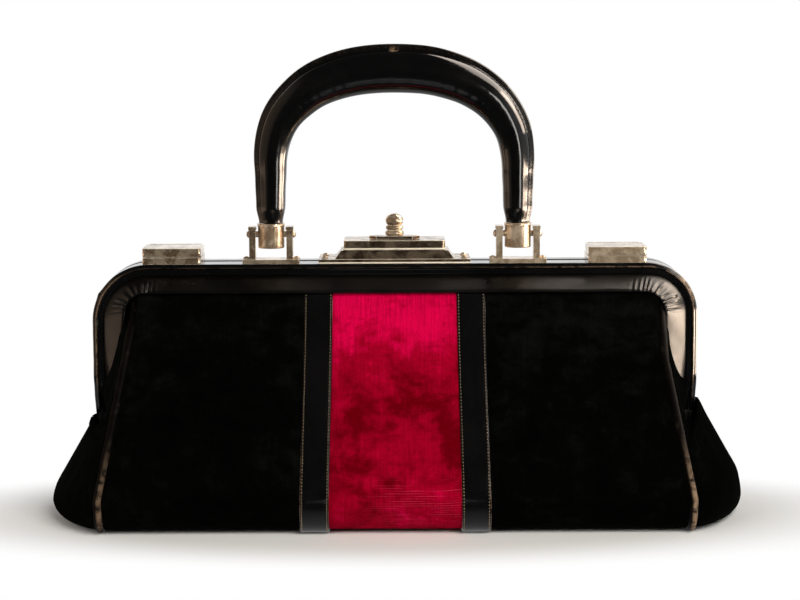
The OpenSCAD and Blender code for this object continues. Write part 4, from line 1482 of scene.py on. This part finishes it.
@dataclass
class Studio:
    """Floor, lights, surroundings and the camera."""

    eye: Triple = (0.0026, -1.150, 0.2492)
    pitch_deg: float = 6.987
    roll_deg: float = 0.25
    lens: float = 104.3
    sensor: float = 36.0
    behind: float = 1.0
    right: float = 0.40
    left: float = 0.32
    left_dim: float = 0.8
    below: float = 0.02
    ambient: float = 0.03
    white: Triple = (1.0, 1.0, 1.0)
    warm: Triple = (1.0, 0.74, 0.55)
    floor_r: float = 0.55
    floor_tint: Triple = (0.90, 0.90, 0.89)
    floor_mirrored: Pair = (0.03, 0.32)
    shadow_reach: Pair = (0.072, 0.125)
    card: float = 0.7
    card_front: Pair = (-0.34, -0.26)
    card_back: Pair = (-0.10, -0.15)
    card_half: Pair = (0.055, 0.025)
    lamps: tuple[Softbox, ...] = (
        Softbox("key", (0.50, -1.20, 0.85), (0.0, 0.0, 0.08), (0.8, 0.8), 22.0, shine=False),
        Softbox("fill", (-0.80, -1.00, 0.60), (0.0, 0.0, 0.08), (0.8, 0.8), 5.0, shine=False),
        Softbox("strip", (0.50, -0.68, 0.24), (0.0, 0.0, 0.16), (0.13, 0.55), 1.6),
        Softbox("side", (0.85, -0.06, -0.09), (0.13, -0.02, 0.06), (0.80, 0.32), 18.0, (1.0, 0.79, 0.61)),
        Softbox("dim", (-0.85, -0.06, -0.09), (-0.13, -0.02, 0.06), (0.80, 0.32), 0.65, (1.0, 0.70, 0.50)),
        Softbox("top", (0.50, 0.22, 0.72), (0.10, 0.0, 0.12), (0.7, 0.6), 6.2, (1.0, 0.88, 0.78)),
        Softbox("corner", (0.70, 0.04, 0.48), (0.13, -0.02, 0.11), (0.34, 0.42), 4.4, (1.0, 0.82, 0.66)))

    def build(self) -> None:
        """Sets up the whole studio."""
        self.camera()
        self.surroundings()
        self.floor()
        for lamp in self.lamps:
            lamp.hang()

    def camera(self) -> None:
        """Places the camera at the picture's viewpoint."""
        data = bpy.data.cameras.new("camera")
        data.lens, data.sensor_width, data.sensor_fit = self.lens, self.sensor, "HORIZONTAL"
        camera = bpy.data.objects.new("camera", data)
        camera.location = self.eye
        level = Matrix.Rotation(math.radians(90 - self.pitch_deg), 3, "X")
        camera.rotation_euler = (level @ Matrix.Rotation(math.radians(-self.roll_deg), 3, "Z")).to_euler()
        bpy.context.scene.collection.objects.link(camera)
        bpy.context.scene.camera = camera

    def surroundings(self) -> None:
        """A white sweep behind, bright to the right, warm to the left, dim overhead and in front."""
        world = bpy.data.worlds.new("studio")
        bpy.context.scene.world = world
        world.use_nodes = True
        t = Nodes(world.node_tree, "Generated")
        x, y, z = (t.axis(name) for name in "XYZ")
        low = t.span(z, 0.78, 0.42)
        behind = t.product(t.span(y, 0.28, 0.66, 0.0, self.behind), low)
        right = t.product(t.span(x, 0.50, 0.86, 0.0, self.right), low)
        left = t.span(x, -0.55, -0.9, 0.0, self.left)
        glow = t.product(t.most(behind, right, left), t.span(x, -0.85, -0.45, self.left_dim, 1.0))
        glow = t.total(glow, t.span(z, -0.10, 0.05, self.below, self.ambient))
        camera = t.ray("Camera")
        tint = t.most(t.math("SUBTRACT", t.span(x, -0.45, -0.85), camera), 0.0)
        back = world.node_tree.nodes["Background"]
        t.feed(back.inputs["Strength"], t.span(camera, 0.0, 1.0, glow, 1.0))
        t.feed(back.inputs["Color"], t.blend(tint, self.white, self.warm))

    def floor(self) -> None:
        """Lays a round floor under the bag."""
        bm = bmesh.new()
        bmesh.ops.create_circle(bm, cap_ends=True, segments=96, radius=self.floor_r)
        mesh = bpy.data.meshes.new("floor")
        bm.to_mesh(mesh)
        bm.free()
        mesh.materials.append(self.floor_finish())
        floor = bpy.data.objects.new("floor", mesh)
        bpy.context.scene.collection.objects.link(floor)

    def floor_finish(self) -> Material:
        """A pale floor that keeps the shadow, fades to white further out and is dim in reflections."""
        t = Surface("pale_floor")
        t.set(Base_Color=self.floor_tint, Roughness=0.9, Specular_IOR_Level=0.1)
        camera, mirrored = t.ray("Camera"), t.most(t.ray("Glossy"), t.ray("Transmission"))
        length = t.add("VectorMath", {0: t.stretch(0.45, 1.0, 1.0)}, operation="LENGTH").outputs["Value"]
        far = t.product(t.span(length, *self.shadow_reach), camera)
        near = t.span(t.axis("Y"), -0.090, -0.045, *self.floor_mirrored)
        glow = t.add("Emission", {"Strength": t.most(camera, near, self.card_glow(t))})
        mixed = t.add("MixShader", {0: t.most(far, mirrored), 1: t.shader.outputs[0], 2: glow.outputs[0]})
        t.feed(t.output.inputs[0], mixed.outputs[0])
        return t.material

    def card_glow(self, t: Surface) -> Socket:
        """A streaked, patchy bright card in front of the bag, which shows in reflections only."""
        x, y, (wide, full) = t.axis("X"), t.axis("Y"), self.card_half
        zone = t.product(t.span(y, *self.card_back), t.span(y, *self.card_front),
                         t.span(x, -wide, -full), t.span(x, wide, full))
        patches = t.span(t.grain(45.0), 0.40, 0.60)
        streaks = t.grain(1.0, detail=3.0, rough=0.6, vector=t.stretch(420.0, 12.0, 1.0))
        return t.product(zone, self.card, patches, t.span(streaks, 0.35, 0.65, 0.35, 1.3))


def main() -> None:
    """Builds the bag and its studio."""
    logging.basicConfig(level=logging.INFO, format="%(message)s")
    bpy.context.scene.view_settings.view_transform = "Standard"
    shop, wrap = Workshop(), Wrap()
    edge = FacingEdge(wrap)
    Body(shop, wrap).build()
    Gussets(shop, wrap, edge).build()
    Lining(shop, wrap).build()
    Jaws(shop, wrap, edge).build()
    Handle(shop).build()
    Fittings(shop).dress()
    Studio().build()


if __name__ == "__main__":
    main()
